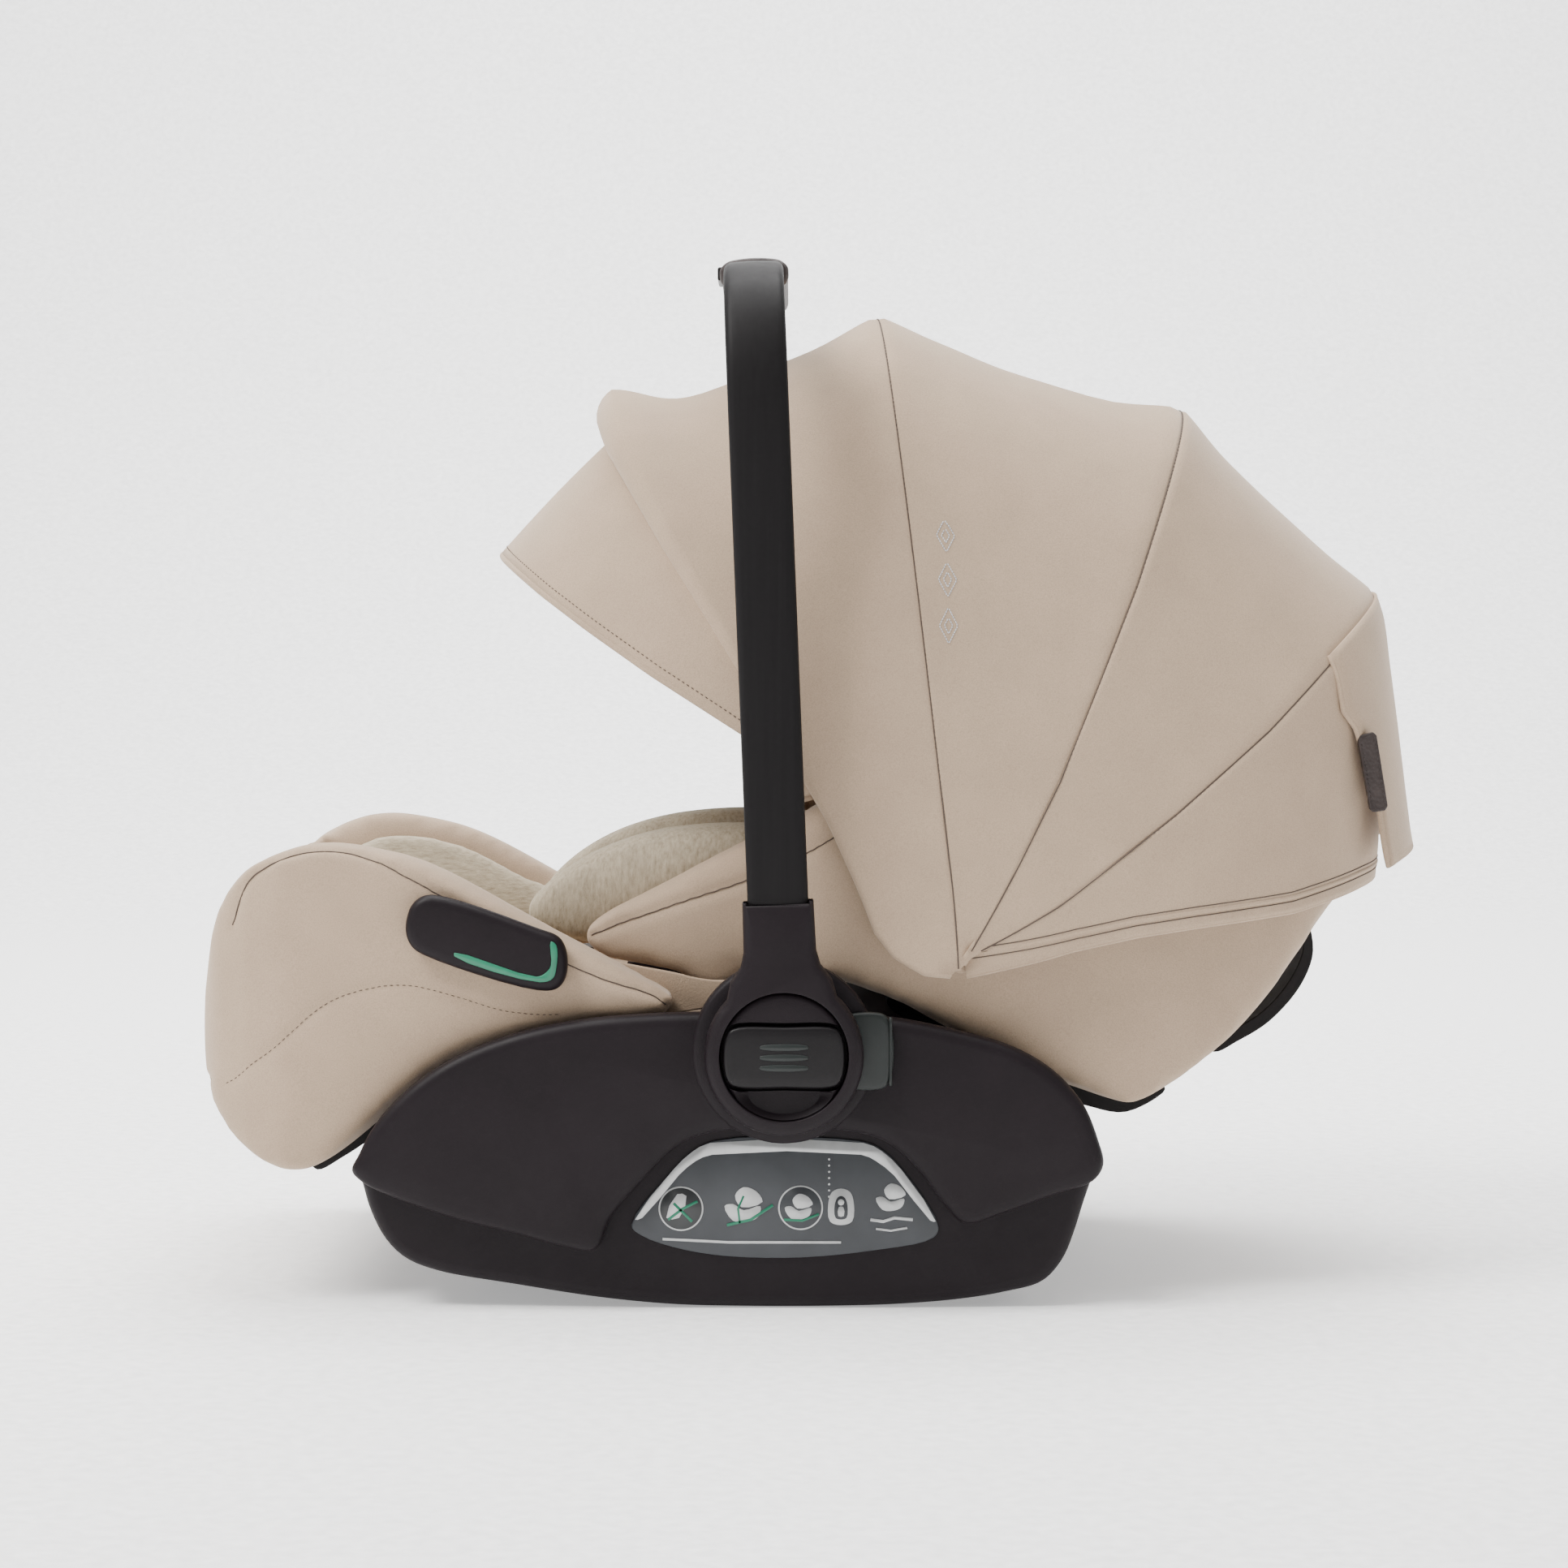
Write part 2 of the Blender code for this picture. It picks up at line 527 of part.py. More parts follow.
def rear_flap():
    """Loose flap hanging from the rear bow over the head end, with a folded side tag."""
    middle = [(348, 380), (356, 345), (362, 308), (367, 270), (370, 235)]
    rings = []
    for x, z in middle:
        outer, inner = [], []
        for k in range(13):
            y = -130 + 260 * k / 12
            f = (1 - (abs(y) / 190) ** CANOPY_POWER) ** (1 / CANOPY_POWER)
            for row, off in ((outer, 0.0), (inner, 2.4)):
                row.append((100 + (x - 100) * f - off, y, 188 + (z - 188) * f))
        rings.append(outer + inner[::-1])
    place("rear_flap", rings_mesh(rings), FABRIC_MAT)
    tag = [(327, 307), (339, 309), (346, 273), (334, 271)]
    prism("flap_tag", tag, -133, -130.5, LEATHER)


clear_scene()
SEAT = new_collection("infant_car_seat")
CUTTERS = new_collection("cutters", True)
BLACK = material("black_plastic", (0.026, 0.023, 0.026), 0.55)
GLOSS = material("button_plastic", (0.02, 0.018, 0.02), 0.4)
ANODISED = material("black_aluminium", (0.018, 0.018, 0.02), 0.35, 0.8)
LEATHER = material("brown_leatherette", (0.045, 0.033, 0.03), 0.6)
FABRIC_MAT = material("taupe_fabric", (0.46, 0.38, 0.31), 0.95)
KNIT = material("melange_knit", (0.39, 0.34, 0.26), 0.95)
WEBBING = material("webbing", (0.05, 0.047, 0.045), 0.8)
LEVER = material("grey_lever", (0.07, 0.08, 0.08), 0.4)
LABEL_GREY = material("label_film", (0.12, 0.13, 0.135), 0.35)
GREEN = material("green_inlay", (0.02, 0.24, 0.14), 0.5)
RED = material("red_button", (0.5, 0.02, 0.02), 0.4)
STEEL = material("steel", (0.6, 0.6, 0.6), 0.3, 1.0)
SPRING = material("bow_plastic", (0.05, 0.05, 0.05), 0.5)
base_parts()
handle_parts()
leg_parts()
back_parts()
canopy_parts()
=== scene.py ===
import math

import bmesh
import bpy
import numpy as np
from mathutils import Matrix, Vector
from mathutils.bvhtree import BVHTree
from mathutils.kdtree import KDTree


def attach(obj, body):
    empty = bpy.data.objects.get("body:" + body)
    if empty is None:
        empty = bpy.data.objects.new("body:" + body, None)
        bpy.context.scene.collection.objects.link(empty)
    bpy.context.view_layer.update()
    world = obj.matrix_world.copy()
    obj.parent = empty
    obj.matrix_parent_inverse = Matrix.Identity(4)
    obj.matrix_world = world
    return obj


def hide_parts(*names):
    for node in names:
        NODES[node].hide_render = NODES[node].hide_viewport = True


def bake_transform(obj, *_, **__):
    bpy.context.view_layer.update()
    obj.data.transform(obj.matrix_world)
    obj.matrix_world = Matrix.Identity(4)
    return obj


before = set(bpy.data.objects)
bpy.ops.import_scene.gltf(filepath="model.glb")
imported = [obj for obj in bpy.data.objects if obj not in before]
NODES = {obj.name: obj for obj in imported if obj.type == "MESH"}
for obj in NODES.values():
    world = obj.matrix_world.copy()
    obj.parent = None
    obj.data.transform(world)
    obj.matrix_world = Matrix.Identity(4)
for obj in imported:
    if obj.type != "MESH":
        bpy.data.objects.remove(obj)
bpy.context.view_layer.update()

# Lengths are in mm here. MM takes them to the metres that Blender works in.
MM = 0.001
SIDES = (("left", -1), ("right", 1))
HUB_X, HUB_Z = 0.0, 142.0
HANDLE_TILT = math.radians(2.25)
HANDLE_TOP, HANDLE_HALF = 435.2, 212.5
PIVOT_X, PIVOT_Z = 100.0, 188.0
PIVOT_ZONE = 70
CANOPY_HALF, CANOPY_POWER = 189.0, 3.2
VISOR_HALF = CANOPY_HALF - 3
AROUND = np.linspace(0, 2 * math.pi, 96, endpoint=False)
AROUND_COARSE = np.linspace(0, 6.2, 24)


# Meshes

def finish_mesh(name, bm, mat, smooth=True):
    """A visible piece from the finished bmesh, which is freed."""
    bmesh.ops.recalc_face_normals(bm, faces=bm.faces)
    data = bpy.data.meshes.new(name)
    bm.to_mesh(data)
    bm.free()
    data.materials.append(mat)
    obj = bpy.data.objects.new(name, data)
    bpy.context.scene.collection.objects.link(obj)
    if smooth:
        data.shade_smooth()
    return obj


def span(a, b, c, d, steps):
    """Points of a smooth curve from b up to c, bent by their neighbours a and d."""
    k1, k2, k3 = (max(np.linalg.norm(q - p), 1e-6) ** 0.5 for p, q in ((a, b), (b, c), (c, d)))
    m1 = (c - b) + k2 * ((b - a) / k1 - (c - a) / (k1 + k2))
    m2 = (c - b) + k2 * ((d - c) / k3 - (d - b) / (k2 + k3))
    return [(2 * s**3 - 3 * s**2 + 1) * b + (s**3 - 2 * s**2 + s) * m1
            + (3 * s**2 - 2 * s**3) * c + (s**3 - s**2) * m2 for s in np.linspace(0, 1, steps, endpoint=False)]


def distances(line):
    """How far along the line each of its points is."""
    return np.concatenate([[0], np.cumsum(np.linalg.norm(np.diff(line, axis=0), axis=1))])


def points_at(line, far, at):
    """The points of the line at these distances, given the distance of each of its own points."""
    return np.stack([np.interp(at, far, column) for column in line.T], axis=1)


def spread(line, count):
    """The line again, as this many points an equal distance apart."""
    far = distances(line)
    return points_at(line, far, np.linspace(0, far[-1], count))


def curve(points, count):
    """This many evenly spaced points on a smooth curve through the given ones."""
    pts = np.array(points, float)
    pts = np.vstack([2 * pts[0] - pts[1], pts, 2 * pts[-1] - pts[-2]])
    line = []
    for ends in zip(pts, pts[1:], pts[2:], pts[3:]):
        line += span(*ends, 16)
    return spread(np.array(line + [pts[-2]]), count)


def add_rows(bm, rows, around=False, capped=False):
    """Quads between rows of points in mm. Around joins each row's ends, capped fills the first and last."""
    verts = [[bm.verts.new(p) for p in row] for row in np.asarray(rows, float) * MM]
    count = len(verts[0])
    for a, b in zip(verts, verts[1:]):
        for k in range(count if around else count - 1):
            j = (k + 1) % count
            bm.faces.new((a[k], a[j], b[j], b[k]))
    if capped:
        bm.faces.new(verts[0])
        bm.faces.new(verts[-1])


def sheet_mesh(name, rows, mat, around=False, capped=False):
    """A piece from rows of points, put together as add_rows does."""
    bm = bmesh.new()
    add_rows(bm, rows, around, capped)
    return finish_mesh(name, bm, mat)


def frames_of(line):
    """Tangent and two normals at each point, with no twist."""
    tangent = np.gradient(line, axis=0)
    tangent /= np.maximum(np.linalg.norm(tangent, axis=1), 1e-9)[:, None]
    first = np.cross(tangent[0], (0, 0, 1) if abs(tangent[0][2]) < 0.9 else (0, 1, 0))
    normals = [first / np.linalg.norm(first)]
    for t in tangent[1:]:
        n = normals[-1] - t * np.dot(normals[-1], t)
        normals.append(n / max(np.linalg.norm(n), 1e-9))
    normals = np.array(normals)
    return tangent, normals, np.cross(tangent, normals)


def tube_rings(line, radius, sides=8):
    """Rings round a line, with one radius or one for each point."""
    line = np.asarray(line, float)
    _, one, two = frames_of(line)
    radius = np.broadcast_to(radius, len(line))[:, None, None]
    a = np.linspace(0, 2 * math.pi, sides, endpoint=False)
    ring = np.cos(a)[None, :, None] * one[:, None, :] + np.sin(a)[None, :, None] * two[:, None, :]
    return line[:, None, :] + ring * radius


def tube(name, line, radius, mat, sides=8):
    return sheet_mesh(name, tube_rings(line, radius, sides), mat, True, True)


def stitches(name, lines, mat, pitch, length, radius):
    """Short thread stitches along the lines, as one piece."""
    bm = bmesh.new()
    taper = radius * np.array([0.5, 1, 1, 0.5])
    for line in lines:
        line = np.asarray(line, float)
        far = distances(line)
        for start in np.arange(pitch / 2, far[-1] - length, pitch):
            dash = points_at(line, far, start + np.linspace(0, length, 4))
            add_rows(bm, tube_rings(dash, taper, 5), True, True)
    return finish_mesh(name, bm, mat)


def bevelled(obj, width, segments=3, angle=40):
    """Rounds the edges that are sharper than the angle, in degrees."""
    rounding = obj.modifiers.new("Bevel", "BEVEL")
    rounding.width = width * MM
    rounding.segments = segments
    rounding.limit_method = "ANGLE"
    rounding.angle_limit = math.radians(angle)
    rounding.harden_normals = True
    return obj


def at_y(outline, y):
    """The (X, Z) outline as points at this Y, which is one number or one for each point."""
    flat = np.asarray(outline, float)
    return np.stack([flat[:, 0], np.broadcast_to(y, len(flat)), flat[:, 1]], axis=1)


def prism(name, outline, y0, y1, mat):
    """The (X, Z) outline drawn from y0 to y1."""
    return sheet_mesh(name, [at_y(outline, y) for y in (y0, y1)], mat, True, True)


def turned(name, centre, profile, side, mat, angles=AROUND):
    """A round piece about an axis along Y through (x, z): a ring for each (radius, y) of the profile."""
    x, z = centre
    rings = [[(x + r * math.cos(a), side * y, z + r * math.sin(a)) for a in angles] for r, y in profile]
    return sheet_mesh(name, rings, mat, True, True)


def inset(outline, by):
    """The outline moved inward by this many mm."""
    pts = np.array(outline, float)
    before, after = np.roll(pts, 1, axis=0), np.roll(pts, -1, axis=0)
    area = (pts[:, 0] * after[:, 1] - after[:, 0] * pts[:, 1]).sum()
    one, two = pts - before, after - pts
    one /= np.linalg.norm(one, axis=1)[:, None]
    two /= np.linalg.norm(two, axis=1)[:, None]
    n1, n2 = (np.stack([-v[:, 1], v[:, 0]], axis=1) * (1 if area > 0 else -1) for v in (one, two))
    mid = n1 + n2
    mid /= np.maximum(np.linalg.norm(mid, axis=1), 1e-9)[:, None]
    return pts + mid * by / np.maximum((mid * n1).sum(axis=1), 0.6)[:, None]


def smooth_ring(outline, per=6):
    """A closed smooth outline with the same number of points in each span, so that rings match."""
    pts = np.array(outline, float)
    out = []
    for ends in zip(*(np.roll(pts, by, axis=0) for by in (1, 0, -1, -2))):
        out += span(*ends, per)
    return np.array(out)


def plate(name, outline, side, profile, mat, per=6):
    """A moulded plate: the outline at each (y, inset) of the profile, closed at both ends."""
    rings = [at_y(smooth_ring(inset(outline, by), per), side * y) for y, by in profile]
    return sheet_mesh(name, rings, mat, True, True)


# Materials

def node(tree, kind, **settings):
    made = tree.nodes.new(kind)
    for key, value in settings.items():
        setattr(made, key, value)
    return made


class Finish:
    """A procedural material, built up step by step on one Principled shader."""

    def __init__(self, name, roughness, metallic=0.0, specular=0.5, **sockets):
        self.mat = bpy.data.materials.new(name)
        self.mat.use_nodes = True
        self.tree = self.mat.node_tree
        self.shader = self.tree.nodes["Principled BSDF"]
        self.shader.inputs["Roughness"].default_value = roughness
        self.shader.inputs["Metallic"].default_value = metallic
        self.shader.inputs["Specular IOR Level"].default_value = specular
        for key, value in sockets.items():
            self.shader.inputs[key.replace("_", " ")].default_value = value
        self.place = node(self.tree, "ShaderNodeTexCoord").outputs["Object"]
        self.height = None

    def link(self, a, b):
        self.tree.links.new(a, b)

    def textured(self, kind, scale, stretch=None, **settings):
        """A texture node on object coordinates, stretched if a scale for each axis is given."""
        made = node(self.tree, kind, **settings)
        made.inputs["Scale"].default_value = scale
        place = self.place
        if stretch:
            mapping = node(self.tree, "ShaderNodeMapping")
            mapping.inputs["Scale"].default_value = stretch
            self.link(place, mapping.inputs["Vector"])
            place = mapping.outputs["Vector"]
        self.link(place, made.inputs["Vector"])
        return made

    def noise(self, scale, detail=2.0, stretch=None, roughness=0.5):
        made = self.textured("ShaderNodeTexNoise", scale, stretch)
        made.inputs["Detail"].default_value = detail
        made.inputs["Roughness"].default_value = roughness
        return made.outputs["Fac"]

    def voronoi(self, scale, feature="F1"):
        return self.textured("ShaderNodeTexVoronoi", scale, feature=feature).outputs["Distance"]

    def waves(self, scale, direction, distortion=0.0):
        made = self.textured("ShaderNodeTexWave", scale, bands_direction=direction)
        made.inputs["Distortion"].default_value = distortion
        return made.outputs["Fac"]

    def ramp(self, value, *stops):
        """A colour from the value, by (position, colour) stops."""
        made = node(self.tree, "ShaderNodeValToRGB")
        elements = made.color_ramp.elements
        while len(elements) < len(stops):
            elements.new(0.5)
        for element, (at, colour) in zip(elements, stops):
            element.position = at
            element.color = (*colour, 1)
        self.link(value, made.inputs["Fac"])
        return made.outputs["Color"]

    def tint(self, colour, value, low, high):
        """The colour times a grey that runs from low to high with the value."""
        mix = node(self.tree, "ShaderNodeMix", data_type="RGBA", blend_type="MULTIPLY")
        mix.inputs[0].default_value = 1.0
        self.link(colour, mix.inputs[6])
        self.link(self.ramp(value, (0.3, (low,) * 3), (0.7, (high,) * 3)), mix.inputs[7])
        return mix.outputs[2]

    def colour(self, value):
        self.link(value, self.shader.inputs["Base Color"])

    def rough(self, value, low, high):
        """Roughness that runs from low to high with the value."""
        made = node(self.tree, "ShaderNodeMapRange")
        made.inputs["To Min"].default_value = low
        made.inputs["To Max"].default_value = high
        self.link(value, made.inputs["Value"])
        self.link(made.outputs["Result"], self.shader.inputs["Roughness"])

    def bump(self, value, distance, strength=1.0):
        """One more layer of relief, on top of those already there. Its distance is in metres."""
        made = node(self.tree, "ShaderNodeBump")
        made.inputs["Distance"].default_value = distance
        made.inputs["Strength"].default_value = strength
        self.link(value, made.inputs["Height"])
        if self.height is not None:
            self.link(self.height, made.inputs["Normal"])
        self.height = made.outputs["Normal"]
        self.link(self.height, self.shader.inputs["Normal"])


def scaled(colour, by):
    return tuple(c * by for c in colour)


def fabric(name, base):
    """Fine matt jersey: speckled yarn, faint mottling, a small regular knit."""
    f = Finish(name, 0.9, specular=0.25, Sheen_Weight=0.25, Sheen_Roughness=0.45)
    f.shader.inputs["Sheen Tint"].default_value = (1.0, 0.93, 0.86, 1)
    yarn = f.ramp(f.noise(1500, 2.5), (0.32, scaled(base, 0.88)), (0.5, base), (0.7, scaled(base, 1.08)))
    f.colour(f.tint(yarn, f.noise(34, 3), 0.955, 1.035))
    f.rough(f.noise(300, 2), 0.82, 0.98)
    f.bump(f.voronoi(1150), 0.00016, 0.55)
    f.bump(f.noise(2600, 2), 0.0001, 0.5)
    f.bump(f.noise(45, 3), 0.0009, 0.35)
    return f.mat


def melange(name, stretch):
    """Heathered knit: two-tone yarn in short streaks."""
    f = Finish(name, 0.92, specular=0.2, Sheen_Weight=0.2, Sheen_Roughness=0.5)
    f.shader.inputs["Sheen Tint"].default_value = (0.95, 0.95, 0.8, 1)
    streak = f.ramp(f.noise(340, 4, stretch, 0.65), (0.3, (0.29, 0.24, 0.170)), (0.43, (0.37, 0.312, 0.228)),
                    (0.56, (0.43, 0.365, 0.272)), (0.75, (0.50, 0.43, 0.325)))
    f.colour(f.tint(streak, f.noise(60, 3), 0.93, 1.05))
    f.bump(f.noise(420, 3, stretch), 0.0005, 0.55)
    f.bump(f.voronoi(1200), 0.00015, 0.5)
    return f.mat


def plastic(name, base, roughness, grain=1.0, specular=0.5):
    """Moulded plastic with a fine spark-eroded grain and slightly polished, paler wear."""
    f = Finish(name, roughness, specular=specular)
    f.colour(f.ramp(f.noise(28, 4), (0.3, scaled(base, 0.88)), (0.72, scaled(base, 1.14))))
    f.rough(f.noise(90, 4), roughness - 0.06, roughness + 0.08)
    f.bump(f.noise(1900, 3), 0.00009 * grain, 0.6)
    f.bump(f.voronoi(900), 0.00006 * grain, 0.5)
    return f.mat


def anodised(name):
    """Matt black metal with faint streaks along its length."""
    f = Finish(name, 0.54, 0.1, 0.14)
    streaks = f.noise(500, 3, (1, 1, 0.03))
    f.colour(f.ramp(streaks, (0.3, (0.0072, 0.0064, 0.0070)), (0.7, (0.0086, 0.0078, 0.0084))))
    f.rough(f.noise(160, 4), 0.5, 0.6)
    f.bump(f.noise(3800, 2), 0.00003, 0.5)
    return f.mat


def leatherette(name):
    """Dark brown grained leatherette."""
    f = Finish(name, 0.5, specular=0.3)
    f.colour(f.ramp(f.noise(70, 4), (0.3, (0.026, 0.019, 0.018)), (0.7, (0.044, 0.033, 0.031))))
    f.rough(f.noise(300, 3), 0.42, 0.6)
    f.bump(f.voronoi(520, "SMOOTH_F1"), 0.0004, 0.7)
    f.bump(f.noise(1500, 3), 0.0001, 0.5)
    return f.mat


def woven(name, base):
    """Harness webbing: ribs across a twill."""
    f = Finish(name, 0.6, specular=0.35, Sheen_Weight=0.15)
    ribs = f.waves(260, "X", 1.5)
    twill = f.ramp(f.noise(900, 2, (0.3, 1, 1)), (0.3, scaled(base, 0.7)), (0.7, scaled(base, 1.4)))
    f.colour(f.tint(twill, ribs, 0.75, 1.1))
    f.rough(f.noise(300, 2), 0.5, 0.75)
    f.bump(ribs, 0.0005, 0.6)
    f.bump(f.waves(420, "Y"), 0.0003, 0.5)
    return f.mat


def plain(name, base, roughness, metallic=0.0, scale=120, **sockets):
    """A simple finish with faint variation in colour, gloss and height."""
    f = Finish(name, roughness, metallic, **sockets)
    f.colour(f.ramp(f.noise(scale, 3), (0.3, scaled(base, 0.9)), (0.7, scaled(base, 1.08))))
    f.rough(f.noise(scale * 2, 3), max(roughness - 0.06, 0.05), roughness + 0.06)
    f.bump(f.noise(scale * 14, 2), 0.00004, 0.4)
    return f.mat


TAUPE = fabric("taupe_jersey", (0.410, 0.303, 0.215))
KNIT = melange("melange_knit_across", (1.6, 1.6, 0.45))
KNIT_LONG = melange("melange_knit_along", (0.5, 1.7, 1.7))
# Dark brown: partly the colour of the thread, partly painted shade, since the dark lines along the seams stand for the
# shadow of the stitches in the seam groove.
SEAM_THREAD_AND_SHADE = plain("seam_thread_and_shade", (0.075, 0.054, 0.042), 0.8)
PALE_THREAD = plain("pale_thread", (0.40, 0.33, 0.27), 0.8)
BLACK = plastic("black_grained_plastic", (0.0084, 0.0056, 0.0074), 0.5, 1.0, 0.17)
INNER_BLACK = plastic("inner_black_plastic", (0.006, 0.005, 0.0055), 0.6, 1.0, 0.2)
BUTTON = plastic("satin_button_plastic", (0.0055, 0.0046, 0.0054), 0.42, 0.6, 0.22)
METAL = anodised("black_anodised_tube")
LEATHER = leatherette("brown_leatherette")
WEB = woven("harness_webbing", (0.05, 0.046, 0.044))
LEVER = plastic("smoke_grey_plastic", (0.017, 0.0205, 0.0198), 0.36, 0.5, 0.26)
FILM = plain("label_film", (0.050, 0.0535, 0.059), 0.45, scale=60, Specular_IOR_Level=0.3)
PALE_PRINT = plain("label_pale_print", (0.52, 0.53, 0.53), 0.4)
GREEN = plain("green_inlay", (0.008, 0.165, 0.088), 0.42)
DARK_PRINT = plain("label_dark_print", (0.03, 0.032, 0.034), 0.4)
RED = plain("red_plastic", (0.50, 0.018, 0.016), 0.35, Coat_Weight=0.3)
STEEL = plain("brushed_steel", (0.56, 0.56, 0.57), 0.3, 1.0, scale=400)
SPRING = plastic("bow_plastic", (0.03, 0.03, 0.031), 0.5)


# Camera, lights and floor

CAMERA_PLACE, CAMERA_DOWN, CAMERA_LENS = (0, -2.11, 0.37194), math.radians(2.553), 81.894
FLOOR_BACK, FLOOR_BEND = 2.2, 2.5


def studio():
    """Camera, a floor that bends up behind the piece, and soft area lights. Measures are in metres."""
    camera = bpy.data.objects.new("camera", bpy.data.cameras.new("camera"))
    bpy.context.scene.collection.objects.link(camera)
    camera.location = CAMERA_PLACE
    camera.rotation_euler = (math.pi / 2 - CAMERA_DOWN, 0, 0)
    camera.data.sensor_width = 36
    camera.data.lens = CAMERA_LENS
    bpy.context.scene.camera = camera

    path = [(-9, 0), (FLOOR_BACK, 0)]
    path += [(FLOOR_BACK + FLOOR_BEND * math.sin(a), FLOOR_BEND - FLOOR_BEND * math.cos(a))
             for a in np.linspace(0.1, math.pi / 2, 14)]
    path += [(FLOOR_BACK + FLOOR_BEND, 9)]
    rows = [[(x, y, z) for y, z in path] for x in (-14, 14)]
    white = plain("studio_white", (0.93, 0.93, 0.93), 0.95)
    shader = next(n for n in white.node_tree.nodes if n.type == "BSDF_PRINCIPLED")
    shader.inputs["Emission Color"].default_value = (1, 1, 1, 1)
    shader.inputs["Emission Strength"].default_value = 0.4
    stage = sheet_mesh("studio_floor", np.array(rows) / MM, white)

    world = bpy.data.worlds.new("studio")
    world.use_nodes = True
    world.node_tree.nodes["Background"].inputs["Color"].default_value = (1.0, 1.0, 1.0, 1)
    world.node_tree.nodes["Background"].inputs["Strength"].default_value = 0.32
    bpy.context.scene.world = world
    for name, place, target, size, power, colour in (
        ("key_light", (-1.8, -1.2, 3.0), (0, 0, 0.25), 1.6, 185, (1.0, 0.985, 0.96)),
        ("top_light", (0.3, 0.2, 3.2), (0.05, 0, 0.2), 2.6, 115, (1.0, 1.0, 1.0)),
        ("right_light", (2.6, -1.4, 2.2), (0, 0, 0.25), 1.8, 10, (1.0, 0.98, 0.95)),
        ("back_wash", (0, 1.6, 3.6), (0, 4.4, 1.0), 3.0, 260, (1.0, 1.0, 1.0)),
    ):
        light = bpy.data.lights.new(name, "AREA")
        light.shape = "SQUARE"
        light.size = size
        light.energy = power
        light.color = colour
        obj = bpy.data.objects.new(name, light)
        obj.location = place
        obj.rotation_euler = (Vector(target) - Vector(place)).to_track_quat("-Z", "Y").to_euler()
        bpy.context.scene.collection.objects.link(obj)


studio()


# Canopy. Each line is an arch over the seat, near a half plane through the pivot. An angle, in degrees from
# level at the head end, and a reach, in mm from the pivot, give the line.

# For each angle: reaches from the pivot, and how far ahead of its half plane the canopy runs there
AHEAD = {
    10.3: ((0, 20, 60, 92, 125, 181, 226), (0, 2.5, 6.5, 7.5, 6.3, 3, 6)),
    40.1: ((0, 58, 138, 207, 314), (0, -7, -10, -9, 0)),
    67.4: ((0, 110, 225, 334), (0, -7, -6, 0)),
    97.3: ((0, 60, 364), (2, 3.5, 0)),
    122.0: ((0, 9, 24, 41, 71, 105, 213, 283, 344, 376), (4, 17, 27, 30, 25, 20, 15, 12, 7, 0)),
    139.5: ((0, 131, 175, 233, 276, 308, 346), (-30, -23, -16.6, -8.4, -4, -1.5, 0)),
}
VISOR_RIM, VISOR_BOW, FRONT_BOW = (139.5, 346.0), (122.0, 376.0), (97.3, 364.0)
MID_BOW, REAR_BOW, HEM = (67.4, 334.0), (40.1, 314.0), (10.3, 246.0)


def ahead_of(angle, reach):
    """How far ahead of its half plane the canopy runs, at each reach."""
    angles = sorted(AHEAD)
    table = np.array([np.interp(reach, *AHEAD[a]) for a in angles])
    return np.array([np.interp(angle, angles, column) for column in table.T])


def canopy_line(angle, reach, start=1.0, half=CANOPY_HALF, drop=0.0, ahead=0.0, count=121):
    """Points along a line of the canopy, from its left end over the top to its right end, half being half its
    width. Start is the reach of its ends, drop takes it in from its arch, and ahead moves it square to its half
    plane, all in mm."""
    first = math.asin((start / reach) ** (CANOPY_POWER / 2))
    a = np.linspace(first, math.pi - first, 1600)
    arch = np.stack([-np.sign(np.cos(a)) * half * np.abs(np.cos(a)) ** (2 / CANOPY_POWER),
                     reach * np.sin(a) ** (2 / CANOPY_POWER)], axis=1)
    arch = spread(arch, count)
    y, r = arch.T
    share = np.clip(r / reach, 0, 1)
    slope = np.gradient(arch, axis=0)
    normal = np.stack([slope[:, 1], -slope[:, 0]], axis=1)
    normal /= np.linalg.norm(normal, axis=1)[:, None]
    y, r = y + normal[:, 0] * drop * share**0.3, r + normal[:, 1] * drop * share**0.3
    out = ahead_of(angle, r) + ahead
    t = math.radians(angle)
    # Near the pivot the layers lie one over the other, so that they pass when they fold
    low = np.clip(1 - r / PIVOT_ZONE, 0, 1) ** 2
    layer = np.interp(angle, (40, 67, 97, 122), (0, 3.2, 5.4, 6.0)) if half > 180 else 0
    y = y + np.sign(y) * layer * low
    x = PIVOT_X + r * math.cos(t) - out * math.sin(t) - 4 * low
    z = PIVOT_Z + r * math.sin(t) + out * math.cos(t) + np.interp(angle, (10, 97, 122), (6, -3, -2)) * low
    return np.stack([x, y, z], axis=1)


def from_pivot(line):
    return np.linalg.norm(line[:, [0, 2]] - (PIVOT_X, PIVOT_Z), axis=1)


def lowered(line, by):
    """The line, taken down by this much where it nears the pivot."""
    line[:, 2] -= by * np.clip(1 - (line[:, 0] - 96) / 60, 0, 1)
    return line


SEAM_SHARE, SEAM_DEPTH = 0.016, 2.0


def panel_lines(keys, steps, seams=(True, True)):
    """Lines of a panel across smooth key lines (angle, reach). It sinks by the seam depth at its seams, over about
    that share of its width."""
    t = np.linspace(0, 1, steps)
    t = np.concatenate([[0, 0.012, 0.03, 0.06], t[1:-1][(t[1:-1] > 0.07) & (t[1:-1] < 0.93)],
                        [0.94, 0.97, 0.988, 1]])
    path = curve(keys, 200)
    at = np.linspace(0, 1, 200)
    lines = []
    for s in t:
        angle, reach = (np.interp(s, at, path[:, k]) for k in (0, 1))
        sunk = [math.exp(-((d / SEAM_SHARE) ** 2)) * SEAM_DEPTH
                for d, on in ((s, seams[0]), (1 - s, seams[1])) if on]
        lines.append(canopy_line(angle, reach, drop=sum(sunk)))
    return np.array(lines)


